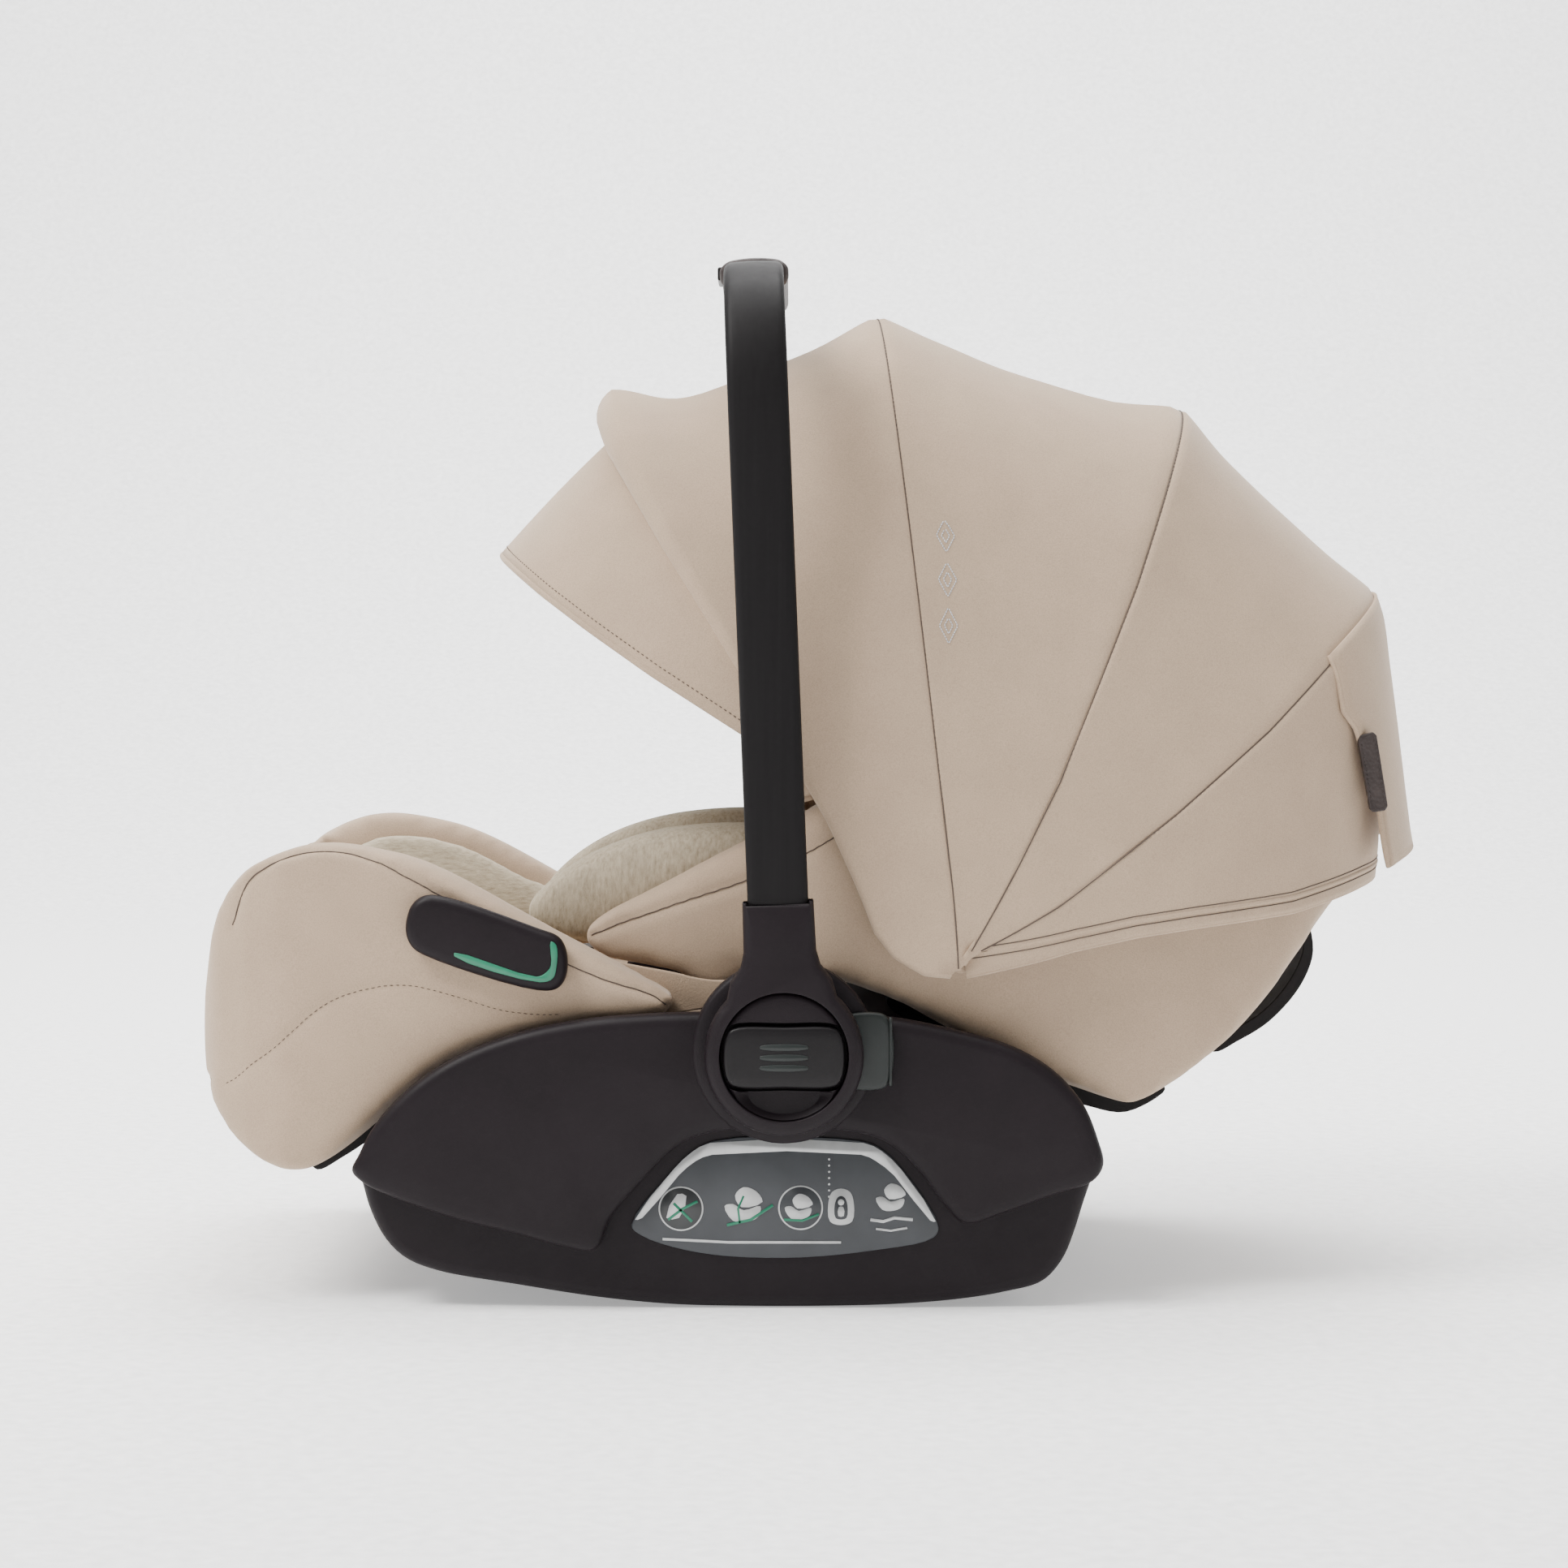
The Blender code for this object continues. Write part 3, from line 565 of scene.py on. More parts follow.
def thicken(obj, thick=1.8):
    """Gives a sheet its thickness, outward."""
    solid = obj.modifiers.new("Solidify", "SOLIDIFY")
    solid.thickness = thick * MM
    solid.offset = 1.0
    solid.use_even_offset = True
    return obj


def canopy():
    """The five tensioned panels, each with its lines."""
    made = {}
    panels = {
        "rear_panel": [REAR_BOW, (47, 309), (54, 310.5), (61, 318), MID_BOW],
        "top_panel": [MID_BOW, (75, 324), (83.7, 329), (91.5, 345), FRONT_BOW],
        "base_panel": [HEM, (20, 259), (30, 282), REAR_BOW],
    }
    for name, keys in panels.items():
        lines = panel_lines(keys, 22, seams=(name != "base_panel", True))
        if name == "base_panel":
            # Its hem turns in under itself
            below = [lowered(canopy_line(HEM[0], HEM[1] - d, drop=0.4 * d, ahead=-back), by)
                     for d, back, by in ((1.5, 8, 4), (1.0, 5.5, 2.7), (0.5, 2.6, 1.3))]
            lines = np.concatenate([below, lines])
        made[name] = (thicken(sheet_mesh("canopy_" + name, lines, TAUPE)), lines)

    # Front panel, rolled round the visor bow at its front edge
    lines = list(panel_lines([FRONT_BOW, (105, 350), (114, 349), VISOR_BOW], 24, seams=(True, False)))
    edge = canopy_line(*VISOR_BOW)
    inward = canopy_line(*VISOR_BOW, drop=10.0) - edge
    inward /= np.maximum(np.linalg.norm(inward, axis=1), 1e-6)[:, None]
    t = math.radians(VISOR_BOW[0])
    forward = np.array([-math.sin(t), 0, math.cos(t)])
    height = np.clip(from_pivot(edge) / VISOR_BOW[1], 0, 1)
    roll = (1.6 + 10.6 * height**2.2)[:, None]
    for a in np.linspace(math.radians(12), math.radians(195), 12):
        lines.append(edge + roll * (1 - math.cos(a)) * inward + roll * math.sin(a) * 1.05 * forward)
    lines = np.array(lines)
    made["front_panel"] = (thicken(sheet_mesh("canopy_front_panel", lines, TAUPE)), lines)

    # Visor, from under the roll to its stitched hem
    top = canopy_line(VISOR_BOW[0], VISOR_BOW[1] - 22, start=112, half=VISOR_HALF)
    rim = canopy_line(*VISOR_RIM, start=129, half=VISOR_HALF)
    up = np.array([0, 0, 1.0])
    lines = np.array([top + (rim - top) * s + up * 2.0 * math.sin(math.pi * s) for s in np.linspace(0, 1, 18)])
    made["visor_panel"] = (thicken(sheet_mesh("canopy_visor_panel", lines, TAUPE)), lines)

    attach(made["front_panel"][0], "canopy_front")
    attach(made["base_panel"][0], "backrest")
    return made


CANOPY = canopy()
for cad, (piece, _) in CANOPY.items():
    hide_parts(cad)


def ride_piece(obj, body, stands_for=()):
    """Puts a piece on its body, and hides the nodes that it replaces."""
    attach(obj, body)
    if stands_for:
        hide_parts(*stands_for)
    return obj


def mid_point(line):
    """The top of an arch of the canopy, in metres."""
    return tuple(canopy_line(*line)[60] * MM)


def sewn(name, lines, mat, body, pitch, length, radius):
    """Stitches along the lines, as a piece on its body."""
    return ride_piece(stitches(name, lines, mat, pitch, length, radius), body)


def cord(name, line, radius, mat, body, sides=8):
    """A thread, piping or rolled edge of the covers, as a piece on its body. A dark seam line is partly thread and
    partly painted shade of the seam groove.
    """
    return ride_piece(tube(name, line, radius, mat, sides), body)


SILVER = plain("silver_thread", (0.52, 0.52, 0.53), 0.45)


def on_cloth(panels, line, start, lift, ahead=0.0, count=300):
    """An arch line laid on the outer face of the finished panels, found from this reach outside the arch. Where
    no panel is met, the line stays at the mean height of the cloth."""
    graph = bpy.context.evaluated_depsgraph_get()
    trees = [BVHTree.FromObject(CANOPY[p][0], graph) for p in panels]
    reach, mean, furthest = 12, 10.2, 18
    outside, inside, middle = (canopy_line(*line, start=start, drop=d, ahead=ahead, count=count)
                               for d in (-reach, reach, 0.0))
    far, ways = [], []
    for a, b, c in zip(outside, inside, middle):
        way = (b - a) / np.linalg.norm(b - a)
        found = [tree.ray_cast(Vector((c - way * reach) * MM), Vector(way))[3] for tree in trees]
        far.append(min([f / MM for f in found if f is not None and f < furthest * MM] or [mean]))
        ways.append(way)
    far = np.array(far)
    for _ in range(4):
        far[1:-1] = np.minimum(far[1:-1], (far[:-2] + far[2:]) / 2)
    return middle + np.array(ways) * (far - reach - lift)[:, None]


def canopy_seams():
    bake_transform(CANOPY["rear_panel"][0], "backrest", "canopy_mid", mid_point(REAR_BOW), mid_point(MID_BOW))
    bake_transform(CANOPY["top_panel"][0], "canopy_mid", "canopy_front", mid_point(MID_BOW), mid_point(FRONT_BOW))
    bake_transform(CANOPY["visor_panel"][0], "canopy_front", "visor", mid_point(VISOR_BOW), mid_point(VISOR_RIM))
    for name, line, body, first, panels in (
        ("front", FRONT_BOW, "canopy_front", 2, ("front_panel", "top_panel")),
        ("mid", MID_BOW, "canopy_mid", 9, ("top_panel", "rear_panel")),
        ("rear", REAR_BOW, "backrest", 11, ("rear_panel", "base_panel")),
    ):
        # The dark cord and dark stitches along each seam are partly thread and partly painted shade of the stitches in
        # the seam groove.
        cord(f"{name}_seam", on_cloth(panels, line, first, 0.0), 0.4, SEAM_THREAD_AND_SHADE, body, 6)
        sewn(f"{name}_seam_stitches", [on_cloth(panels, line, first, 0.25)], SEAM_THREAD_AND_SHADE, body,
             pitch=3.0, length=1.8, radius=0.36)


def canopy_motifs():
    """Small embroidered diamonds on each side of the top panel."""
    for name, side in SIDES:
        threads = []
        for z in (424, 398, 372):
            for grow in (1.0, 0.45):
                line = [(89 + 5 * grow * a, side * 186, z + 10 * grow * b)
                        for a, b in ((0, 1), (1, 0), (0, -1), (-1, 0), (0, 1))]
                threads.append(on_skin(CANOPY["top_panel"][0], line, 1.95, 60))
        motif = stitches(f"motif_{name}", threads, SILVER, pitch=1.5, length=1.25, radius=0.42)
        mid_point(MID_BOW)
        mid_point(FRONT_BOW)
        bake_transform(motif)


def visor_hem():
    """A rolled edge with its wire, and a line of stitches above it."""
    visor = CANOPY["visor_panel"][1]
    rim, inner = visor[-1], visor[-2]
    cord("visor_hem_roll", rim, 2.1, TAUPE, "visor", 10)
    wire = tube("visor_wire", canopy_line(*VISOR_RIM, start=118, half=VISOR_HALF), 1.5, SPRING, 10)
    ride_piece(wire, "visor", ["visor_rim"])
    back = (inner - rim) / np.linalg.norm(inner - rim, axis=1)[:, None]
    out = np.cross(np.gradient(rim, axis=0), back)
    out /= np.linalg.norm(out, axis=1)[:, None]
    out *= np.sign(((rim - (PIVOT_X, 0, PIVOT_Z)) * out).sum(axis=1))[60]
    sewn("visor_hem_stitches", [rim + back * 5.4 + out * 1.9], SEAM_THREAD_AND_SHADE, "visor",
         pitch=3.1, length=1.8, radius=0.3)


def canopy_bows():
    """Patches over the pivot, and the bow wires with an eye at each end."""
    patch = ((4.5, 180), (5.4, 181.5), (5.4, 185), (4.8, 186.6), (3.0, 187.4), (0.4, 187.6))
    for name, side in SIDES:
        obj = turned(f"pivot_patch_{name}", (95.5, 188.8), patch, side, TAUPE, AROUND_COARSE)
        ride_piece(obj, "backrest", [f"canopy_pin_{name}"])
    for k, (name, line, body, less) in enumerate((("visor_bow", VISOR_BOW, "canopy_front", 14),
                                                  ("front_bow", FRONT_BOW, "canopy_front", 7),
                                                  ("mid_bow", MID_BOW, "canopy_mid", 7),
                                                  ("rear_bow", REAR_BOW, "backrest", 8))):
        half = 168 + 3.2 * k
        path = canopy_line(line[0], line[1] - less, start=9, half=half)
        radius = 1.45 + 1.15 * np.clip((from_pivot(path) - 62) / 20, 0, 1)
        bow = tube(f"{name}_wire", path, radius, SPRING, 10)
        ring = ((5.0, half - 1.3), (5.4, half), (5.0, half + 1.3))
        eyes = [turned(f"eye{side}", (99, 190), ring, side, SPRING, AROUND_COARSE) for _, side in SIDES]
        ride_piece(merge(bow, eyes), body, [name])


def base_panel_hem():
    """Piped hem round the base panel, between two sewn lines."""
    hem = canopy_line(*HEM, start=5, drop=-0.9)
    low = lowered(canopy_line(HEM[0], HEM[1] - 1.5, drop=0.4, ahead=-8.2), 4)
    taper = np.clip(from_pivot(hem) / 30, 0, 1)
    cord("canopy_hem_piping", hem, 0.6 + 1.1 * taper, TAUPE, "backrest", 10)
    lines = [tube("hem_line", on_cloth(["base_panel"], HEM, 4, 0.0, ahead), 0.36, SEAM_THREAD_AND_SHADE, 6) for ahead in (2.6, -2.5)]
    ride_piece(merge(lines[0], lines[1:]), "backrest").name = "canopy_hem_line"
    cord("canopy_hem_edge", low, 1.3, TAUPE, "backrest")


def rear_flap():
    """The loose flap behind the rear bow, with its hem and the side tag."""
    middle = curve([(340, 391), (344, 378), (347.5, 352), (353, 312), (358, 272), (360, 256), (361.5, 247)], 30)
    rows = []
    for k, (x, z) in enumerate(middle):
        down = k / 29
        half = np.interp(down, (0, 0.28, 0.38, 0.55, 0.75, 1), (149, 147, 141.5, 137.5, 132, 133))
        y = np.linspace(-half, half, 61)
        arch = (1 - (np.abs(y) / 190) ** CANOPY_POWER) ** (1 / CANOPY_POWER)
        side = (np.abs(y) / half) ** 8
        wave = 1.2 * np.sin(y / 21) * down**2
        rows.append(np.stack([PIVOT_X + (x - PIVOT_X) * arch + wave + side * (1.5 + 2.5 * down**4),
                              y * (1 + 0.012 * math.sin(6 * down)),
                              PIVOT_Z + (z - PIVOT_Z) * arch - 2 * side * down**4], axis=1))
    rows = np.array(rows)
    flap = ride_piece(thicken(sheet_mesh("rear_flap_cloth", rows, TAUPE), 1.9), "backrest",
                      ["rear_flap"])
    border = np.concatenate([rows[:, 0], rows[-1, 1:], rows[::-1, -1][1:]])
    cord("rear_flap_hem", border, 1.7, TAUPE, "backrest")
    inner = np.concatenate([rows[2:-2, 2], rows[-3, 3:-2], rows[::-1, -3][2:-2]])
    inner = inner + (inner - (PIVOT_X, 0, PIVOT_Z)) * 0.0045
    sewn("rear_flap_stitches", [inner], PALE_THREAD, "backrest", pitch=3.3, length=2.0, radius=0.3)
    outline = [(316.5, 308), (317.5, 311), (325, 313), (327, 311), (333.5, 272), (332, 269.5), (325.5, 268.5),
               (323.5, 270)]
    tag = bevelled(prism("side_tag", outline, -143.5, -139.5, LEATHER), 0.8, 2)
    ride_piece(tag, "backrest", ["flap_tag"])
    edge = inset(outline, 1.6)
    tag_line = at_y(np.vstack([edge, edge[:1]]), -143.8)
    sewn("side_tag_stitches", [tag_line], LEATHER, "backrest", pitch=2.4, length=1.5, radius=0.22)


# Soft solids: rough closed forms, made one skin with rounded edges, then filled by a short cloth simulation

def outline_solid(name, outline, y0, y1, round_by, mat=TAUPE, per=5):
    """The (X, Z) outline drawn from y0 to y1, smoothed if per is not 0 and with rounded edges."""
    obj = prism(name, smooth_ring(outline, per) if per else outline, y0, y1, mat)
    if round_by:
        bevelled(obj, round_by, 4, 50).modifiers["Bevel"].harden_normals = False
    return obj


def plan_solid(name, outline, z0, z1, mat=TAUPE):
    """The (X, Y) outline drawn from z0 to z1."""
    return sheet_mesh(name, [[(x, y, z) for x, y in outline] for z in (z0, z1)], mat, True, True)


def settle(obj):
    """The object with its modifiers applied, under the same name."""
    bpy.context.view_layer.update()
    data = bpy.data.meshes.new_from_object(obj.evaluated_get(bpy.context.evaluated_depsgraph_get()))
    old = obj.data
    obj.modifiers.clear()
    obj.data = data
    bpy.data.meshes.remove(old)
    return obj


def merge(obj, others):
    """Puts closed forms together in one mesh; the voxel skin makes one solid of them."""
    bm = bmesh.new()
    for part in [obj, *others]:
        bm.from_mesh(settle(part).data)
    bm.to_mesh(obj.data)
    bm.free()
    for other in others:
        bpy.data.objects.remove(other)
    return obj


def join(obj, others, operation):
    """One Boolean for each of the others, which are then removed."""
    for other in others:
        settle(other)
        change = obj.modifiers.new(operation, "BOOLEAN")
        change.operation = operation
        change.solver = "EXACT"
        change.object = other
    settle(obj)
    for other in others:
        bpy.data.objects.remove(other)
    return obj


def coords(obj, field="co"):
    """The position of every vertex in metres, or its normal."""
    values = np.empty(len(obj.data.vertices) * 3)
    obj.data.vertices.foreach_get(field, values)
    return values.reshape(-1, 3)


def set_coords(obj, co):
    obj.data.vertices.foreach_set("co", np.asarray(co, np.float32).ravel())
    obj.data.update()


def skin(obj, voxel, smooth):
    """Makes one closed skin of the form, with voxels of this size in mm, and smooths it."""
    remesh = obj.modifiers.new("Remesh", "REMESH")
    remesh.mode = "VOXEL"
    remesh.voxel_size = voxel * MM
    if smooth:
        soften = obj.modifiers.new("Smooth", "SMOOTH")
        soften.factor = 0.5
        soften.iterations = smooth
    return settle(obj)


def puff(obj, pressure, cap, frames, held=None):
    """Fills the form by a short cloth simulation, with no point moved further than the cap, in mm. Held gives
    the share of the way that each point may move."""
    start = coords(obj)
    cloth = obj.modifiers.new("Cloth", "CLOTH")
    cloth.settings.quality = 4
    cloth.settings.mass = 0.3
    cloth.settings.use_pressure = True
    cloth.settings.uniform_pressure_force = pressure
    cloth.settings.effector_weights.gravity = 0
    cloth.settings.tension_stiffness = cloth.settings.compression_stiffness = 12
    cloth.settings.bending_stiffness = 0.6
    cloth.point_cache.frame_start, cloth.point_cache.frame_end = 1, frames
    for k in range(1, frames + 1):
        bpy.context.scene.frame_set(k)
    settle(obj)
    move = coords(obj) - start
    far = np.linalg.norm(move, axis=1)
    limit = cap * MM * (1 - np.exp(-far / (cap * MM)))
    if held is not None:
        limit = limit * held(start / MM)
    set_coords(obj, start + move * (limit / np.maximum(far, 1e-9))[:, None])
    bpy.context.scene.frame_set(1)
    return obj


def filled(obj, voxel, smooth, pressure, cap, frames, held=None):
    """One closed skin of the rough form, filled by the simulation and then subdivided."""
    skin(obj, voxel, smooth)
    puff(obj, pressure, cap, frames, held)
    finer = obj.modifiers.new("Subdivision", "SUBSURF")
    finer.levels = finer.render_levels = 1
    settle(obj)
    obj.data.shade_smooth()
    return obj


def crease(obj, lines, depth, width):
    """Sinks the skin along sewn lines, in mm."""
    points = np.concatenate([spread(np.asarray(line, float), 300) for line in lines])
    tree = KDTree(len(points))
    for k, p in enumerate(points):
        tree.insert(p, k)
    tree.balance()
    co, normals = coords(obj), coords(obj, "normal")
    reach = 3 * width
    low, high = points.min(axis=0) - reach, points.max(axis=0) + reach
    near = np.nonzero(((co / MM > low) & (co / MM < high)).all(axis=1))[0]
    for k in near:
        far = tree.find(co[k] / MM)[2]
        if far < reach:
            co[k] -= normals[k] * depth * MM * math.exp(-((far / width) ** 2))
    set_coords(obj, co)


def on_skin(obj, line, lift=0.2, count=160):
    """The line moved onto the nearest surface of the object, a little proud of it, in mm."""
    tree = BVHTree.FromPolygons([v.co for v in obj.data.vertices], [tuple(p.vertices) for p in obj.data.polygons])
    out = []
    for p in spread(np.asarray(line, float), count):
        place, normal, _, _ = tree.find_nearest(Vector(p * MM))
        out.append(np.array(place) / MM + np.array(normal) * lift)
    out = np.array(out)
    for _ in range(2):
        out[1:-1] = (out[:-2] + 2 * out[1:-1] + out[2:]) / 4
    return out


LEG = [(-322, 137), (-319, 182), (-312, 214), (-298, 236), (-273, 249), (-250, 253), (-228, 250), (-199, 243),
       (-162, 224), (-116, 199), (-76, 179), (-58, 168), (-64, 160), (-118, 155), (-144, 149), (-180, 137),
       (-207, 117), (-233, 94), (-257, 75), (-272, 73), (-291, 82), (-314, 107)]
LEG_POCKET = [(-293, 330), (-291, 212), (-268, 183), (-232, 165), (-200, 162), (-150, 160), (-40, 166), (-40, 330)]
LEG_TOP_SEAM = [(-309, 208), (-300, 226), (-286, 240), (-268, 248.5), (-242, 250.5), (-223, 244), (-205, 234.5),
                (-190, 226.5), (-116, 186.5), (-94, 177.5), (-70, 170), (-61, 163)]
LEG_LOW_SEAM = [(-322, 120), (-311, 123), (-281, 140), (-249, 166), (-227, 174), (-205, 176), (-179, 170), (-153, 162),
                (-122, 158)]


def leg_cover():
    cover = skin(outline_solid("leg_cover_cloth", LEG, -176, 176, round_by=15), voxel=4.0, smooth=0)
    corner = [(-324, 116), (-321, 138), (-312, 157), (-295, 170), (-270, 177), (0, 177.5)]
    plan = [(0, -177)] + [(x, -y) for x, y in reversed(corner[:-1])] + corner
    join(cover, [plan_solid("plan", plan, 40, 330)], "INTERSECT")
    pocket = outline_solid("pocket", LEG_POCKET, -142, 142, 0, per=0)
    dip = prism("dip", [(-330, 206), (-330, 330), (-270, 330), (-270, 206)], -112, 112, TAUPE)
    join(cover, [pocket, dip], "DIFFERENCE")
    filled(cover, voxel=5.0, smooth=7, pressure=2.2, cap=5.0, frames=12,
           held=lambda p: np.clip((172 - np.abs(p[:, 1])) / 12, 0.25, 1))
    top_seams, low_seams = [], []
    for _, side in SIDES:
        top_seams.append(on_skin(cover, at_y(curve(LEG_TOP_SEAM, 140), side * 174), 0.1))
        low_seams.append(on_skin(cover, at_y(curve(LEG_LOW_SEAM, 120), side * 177), 0.1))
    foot = np.array([(-323, y, 120.5 - 2.5 * (1 - (y / 150) ** 2)) for y in np.linspace(-150, 150, 60)])
    low_seams.append(on_skin(cover, foot, 0.1))
    crease(cover, top_seams, depth=1.5, width=2.6)
    crease(cover, low_seams, depth=1.0, width=3.0)
    ride_piece(cover, "base", ["leg_cover"])
    # The dark cord along each top seam is partly thread and partly painted shade of the seam groove.
    for (name, _), seam in zip(SIDES, top_seams):
        cord(f"leg_top_seam_{name}", on_skin(cover, seam, 0.05), 0.4, SEAM_THREAD_AND_SHADE, "base", 6)
    sewn("leg_low_seam", [on_skin(cover, s, 0.0) for s in low_seams], SEAM_THREAD_AND_SHADE, "base",
         pitch=3.4, length=2.0, radius=0.26)

def leg_gussets():
    """Fabric that closes the gap between the leg cover and the tilting back, at the sides and below."""
    gusset = [(-116, 190), (-92, 185.5), (-76, 182.5), (-60, 179.5), (-50, 177), (-40, 175.5), (-22, 174),
              (-25, 166), (-60, 157), (-112, 156)]
    apron = [(-72, 163.5), (-62, 158.5), (-50, 156.6), (-34, 156.4), (-34, 154), (-50, 154), (-62, 155.4), (-74, 160)]
    strips = [(f"leg_gusset_{name}", gusset, side * 138.2, side * 140.9) for name, side in SIDES]
    for name, outline, y0, y1 in strips + [("leg_apron", apron, -137, 137)]:
        piece = settle(outline_solid(name, outline, y0, y1, 1.1))
        piece.data.shade_smooth()
        ride_piece(piece, "base")


def leg_insert():
    """Melange insert: the pad, and the lining that rises inside each wing."""
    floor = [(-290, 207), (-266, 186), (-231, 168), (-200, 165), (-158, 163), (-156, 174), (-198, 178), (-228, 183),
             (-256, 198), (-279, 213)]
    pad = outline_solid("leg_pad_cloth", floor, -138, 138, 5, KNIT_LONG)
    wing = [(-284, 205), (-278, 226), (-266, 236), (-248, 241), (-226, 240), (-199, 233), (-166, 217), (-132, 199),
            (-134, 166), (-200, 168), (-240, 175), (-268, 192)]
    merge(pad, [outline_solid(f"flange{side}", wing, side * 124, side * 139, 5, KNIT_LONG) for _, side in SIDES])
    filled(pad, voxel=4.5, smooth=5, pressure=3.5, cap=5.0, frames=14,
           held=lambda p: np.clip((140.5 - np.abs(p[:, 1])) / 8, 0.1, 1))
    channels = [np.array([(x, y, z) for y in np.linspace(-112, 112, 30)])
                for x, z in ((-252, 197), (-218, 181), (-184, 177))]
    crease(pad, [on_skin(pad, c, 0) for c in channels], depth=2.0, width=3.5)
    ride_piece(pad, "base", ["leg_pad"])
    sewn("leg_pad_channels", [on_skin(pad, c, 0.1) for c in channels], PALE_THREAD, "base",
         pitch=3.4, length=2.2, radius=0.3)


BACK = [(-113, 199), (-106, 190), (-92, 185), (-76, 182), (-62, 179), (-53, 175), (-46, 167), (-40, 166), (-30, 172),
        (-20, 179), (20, 181), (42, 175), (69, 164), (104, 145), (144, 125), (167, 117), (190, 109), (211, 119),
        (238, 138), (265, 164), (287, 191), (309, 219), (326, 230), (335, 245), (336, 280), (328, 300), (250, 305),
        (150, 300), (60, 290), (26, 279), (-8, 258), (-32, 246), (-60, 231), (-84, 219), (-104, 209)]
BACK_POCKET = [(-150, 150), (-60, 150), (-46, 190), (20, 190), (60, 184), (120, 170), (190, 160), (250, 172),
               (290, 200), (310, 250), (316, 345), (-150, 345)]
BOLSTER = [(-147, 212), (-131, 230), (-104, 246), (-76, 255), (-39, 260), (0, 259), (60, 253), (120, 245),
           (150, 233), (150, 184), (120, 184), (60, 195), (20, 197), (-48, 195), (-100, 192), (-130, 197), (-143, 204)]
BACK_SEAM = [(-111, 200), (-92, 207), (-60, 218), (-20, 231), (13, 248), (34, 260), (70, 278)]


def back_plan(tip, half):
    """(X, Y) outline of the back, square at the foot side and rounded at the head."""
    angles = np.linspace(math.pi / 2, 0, 25)
    side = [(100 + (tip - 100) * max(math.cos(a), 0) ** (2 / 3), half * math.sin(a) ** (2 / 3)) for a in angles]
    side = [(-140, half - 36), (-14, half - 36), (0, half - 22), (14, half - 8), (30, half - 1.5), (55, half)] + side
    return side + [(x, -y) for x, y in reversed(side) if y > 1e-6]


def back_cover():
    cover = skin(outline_solid("back_cover_cloth", BACK, -170, 170, round_by=12), voxel=4.0, smooth=0)
    join(cover, [plan_solid("plan", back_plan(337, 170), 60, 340)], "INTERSECT")
    pocket = outline_solid("pocket", BACK_POCKET, -133, 133, 0, per=0)
    join(pocket, [plan_solid("plan2", back_plan(323, 141), 60, 420)], "INTERSECT")
    join(cover, [pocket], "DIFFERENCE")
    filled(cover, voxel=5.5, smooth=6, pressure=2.0, cap=4.0, frames=10,
           held=lambda p: np.clip((165 - np.abs(p[:, 1])) / 20, 0.2, 1))
    flat = curve(BACK_SEAM, 140)
    y = np.interp(flat[:, 0], (-112, -14, 0, 14, 30, 55), (138, 138, 150, 163, 170, 172))
    seams = [on_skin(cover, at_y(flat, side * y), 0.1) for _, side in SIDES]
    crease(cover, seams, depth=1.5, width=2.8)
    ride_piece(cover, "backrest", ["back_cover"])
    # The dark cord along each seam is partly thread and partly painted shade of the seam groove.
    for (name, _), seam in zip(SIDES, seams):
        cord(f"back_seam_{name}", on_skin(cover, seam, 0.05), 0.4, SEAM_THREAD_AND_SHADE, "backrest", 6)


def bolsters():
    for name, side in SIDES:
        bolster = outline_solid(f"bolster_{name}_cloth", BOLSTER, side * 61, side * 104, 12, KNIT)
        filled(bolster, voxel=4.5, smooth=8, pressure=5.0, cap=7.0, frames=16)
        ridge = np.array([(x, side * 82, 262 - 0.0012 * (x + 20) ** 2) for x in np.linspace(-138, 146, 60)])
        crease(bolster, [on_skin(bolster, ridge, 0)], depth=1.4, width=3.0)
        ride_piece(bolster, "backrest", [f"insert_bolster_{name}"])
        sewn(f"bolster_{name}_seam", [on_skin(bolster, ridge, 0.1)], PALE_THREAD, "backrest",
             pitch=3.4, length=2.2, radius=0.28)


def seat_pad():
    floor = [(-46, 191), (20, 191), (61, 185), (121, 171), (190, 162), (206, 166), (206, 176), (190, 172),
             (123, 182), (64, 196), (21, 202), (-46, 202)]
    pad = outline_solid("back_pad_cloth", floor, -55, 55, 3, KNIT)
    filled(pad, voxel=4.0, smooth=3, pressure=3.0, cap=2.5, frames=12)
    channels = [on_skin(pad, [(x, y, z) for y in np.linspace(-46, 46, 20)], 0)
                for x, z in ((52, 199), (92, 191), (132, 182), (172, 176))]
    crease(pad, channels, depth=1.5, width=3.0)
    ride_piece(pad, "backrest", ["back_pad"])
    sewn("back_pad_channels", channels, PALE_THREAD, "backrest", pitch=3.4, length=2.2, radius=0.28)


def head_support():
    """A pad that stands round the head on three sides, piped along its front edge."""
    outer = [(-98, 288), (-108, 270), (-108, 224), (-96, 206), (96, 206), (108, 224), (108, 270)]
    inner = [(98, 288), (86, 288), (80, 262), (75, 240), (60, 227), (-60, 227), (-75, 240), (-80, 262), (-86, 288)]
    rings = [[(x, y, z) for y, z in outer + inner] for x in (208, 260)]
    rest = sheet_mesh("head_support_cloth", rings, KNIT, True, True)
    bevelled(rest, 5, 3, 50).modifiers["Bevel"].harden_normals = False
    filled(rest, voxel=4.0, smooth=4, pressure=4.0, cap=2.2, frames=14)
    ride_piece(rest, "headrest", ["headrest"])
    edge = [(-92, 288), (-101, 270), (-101, 224), (-88, 210), (88, 210), (101, 224), (101, 270), (92, 288)]
    piping = on_skin(rest, [(207, y, z) for y, z in curve(edge, 120)], 0.3)
    cord("head_support_piping", piping, 1.6, TAUPE, "headrest")


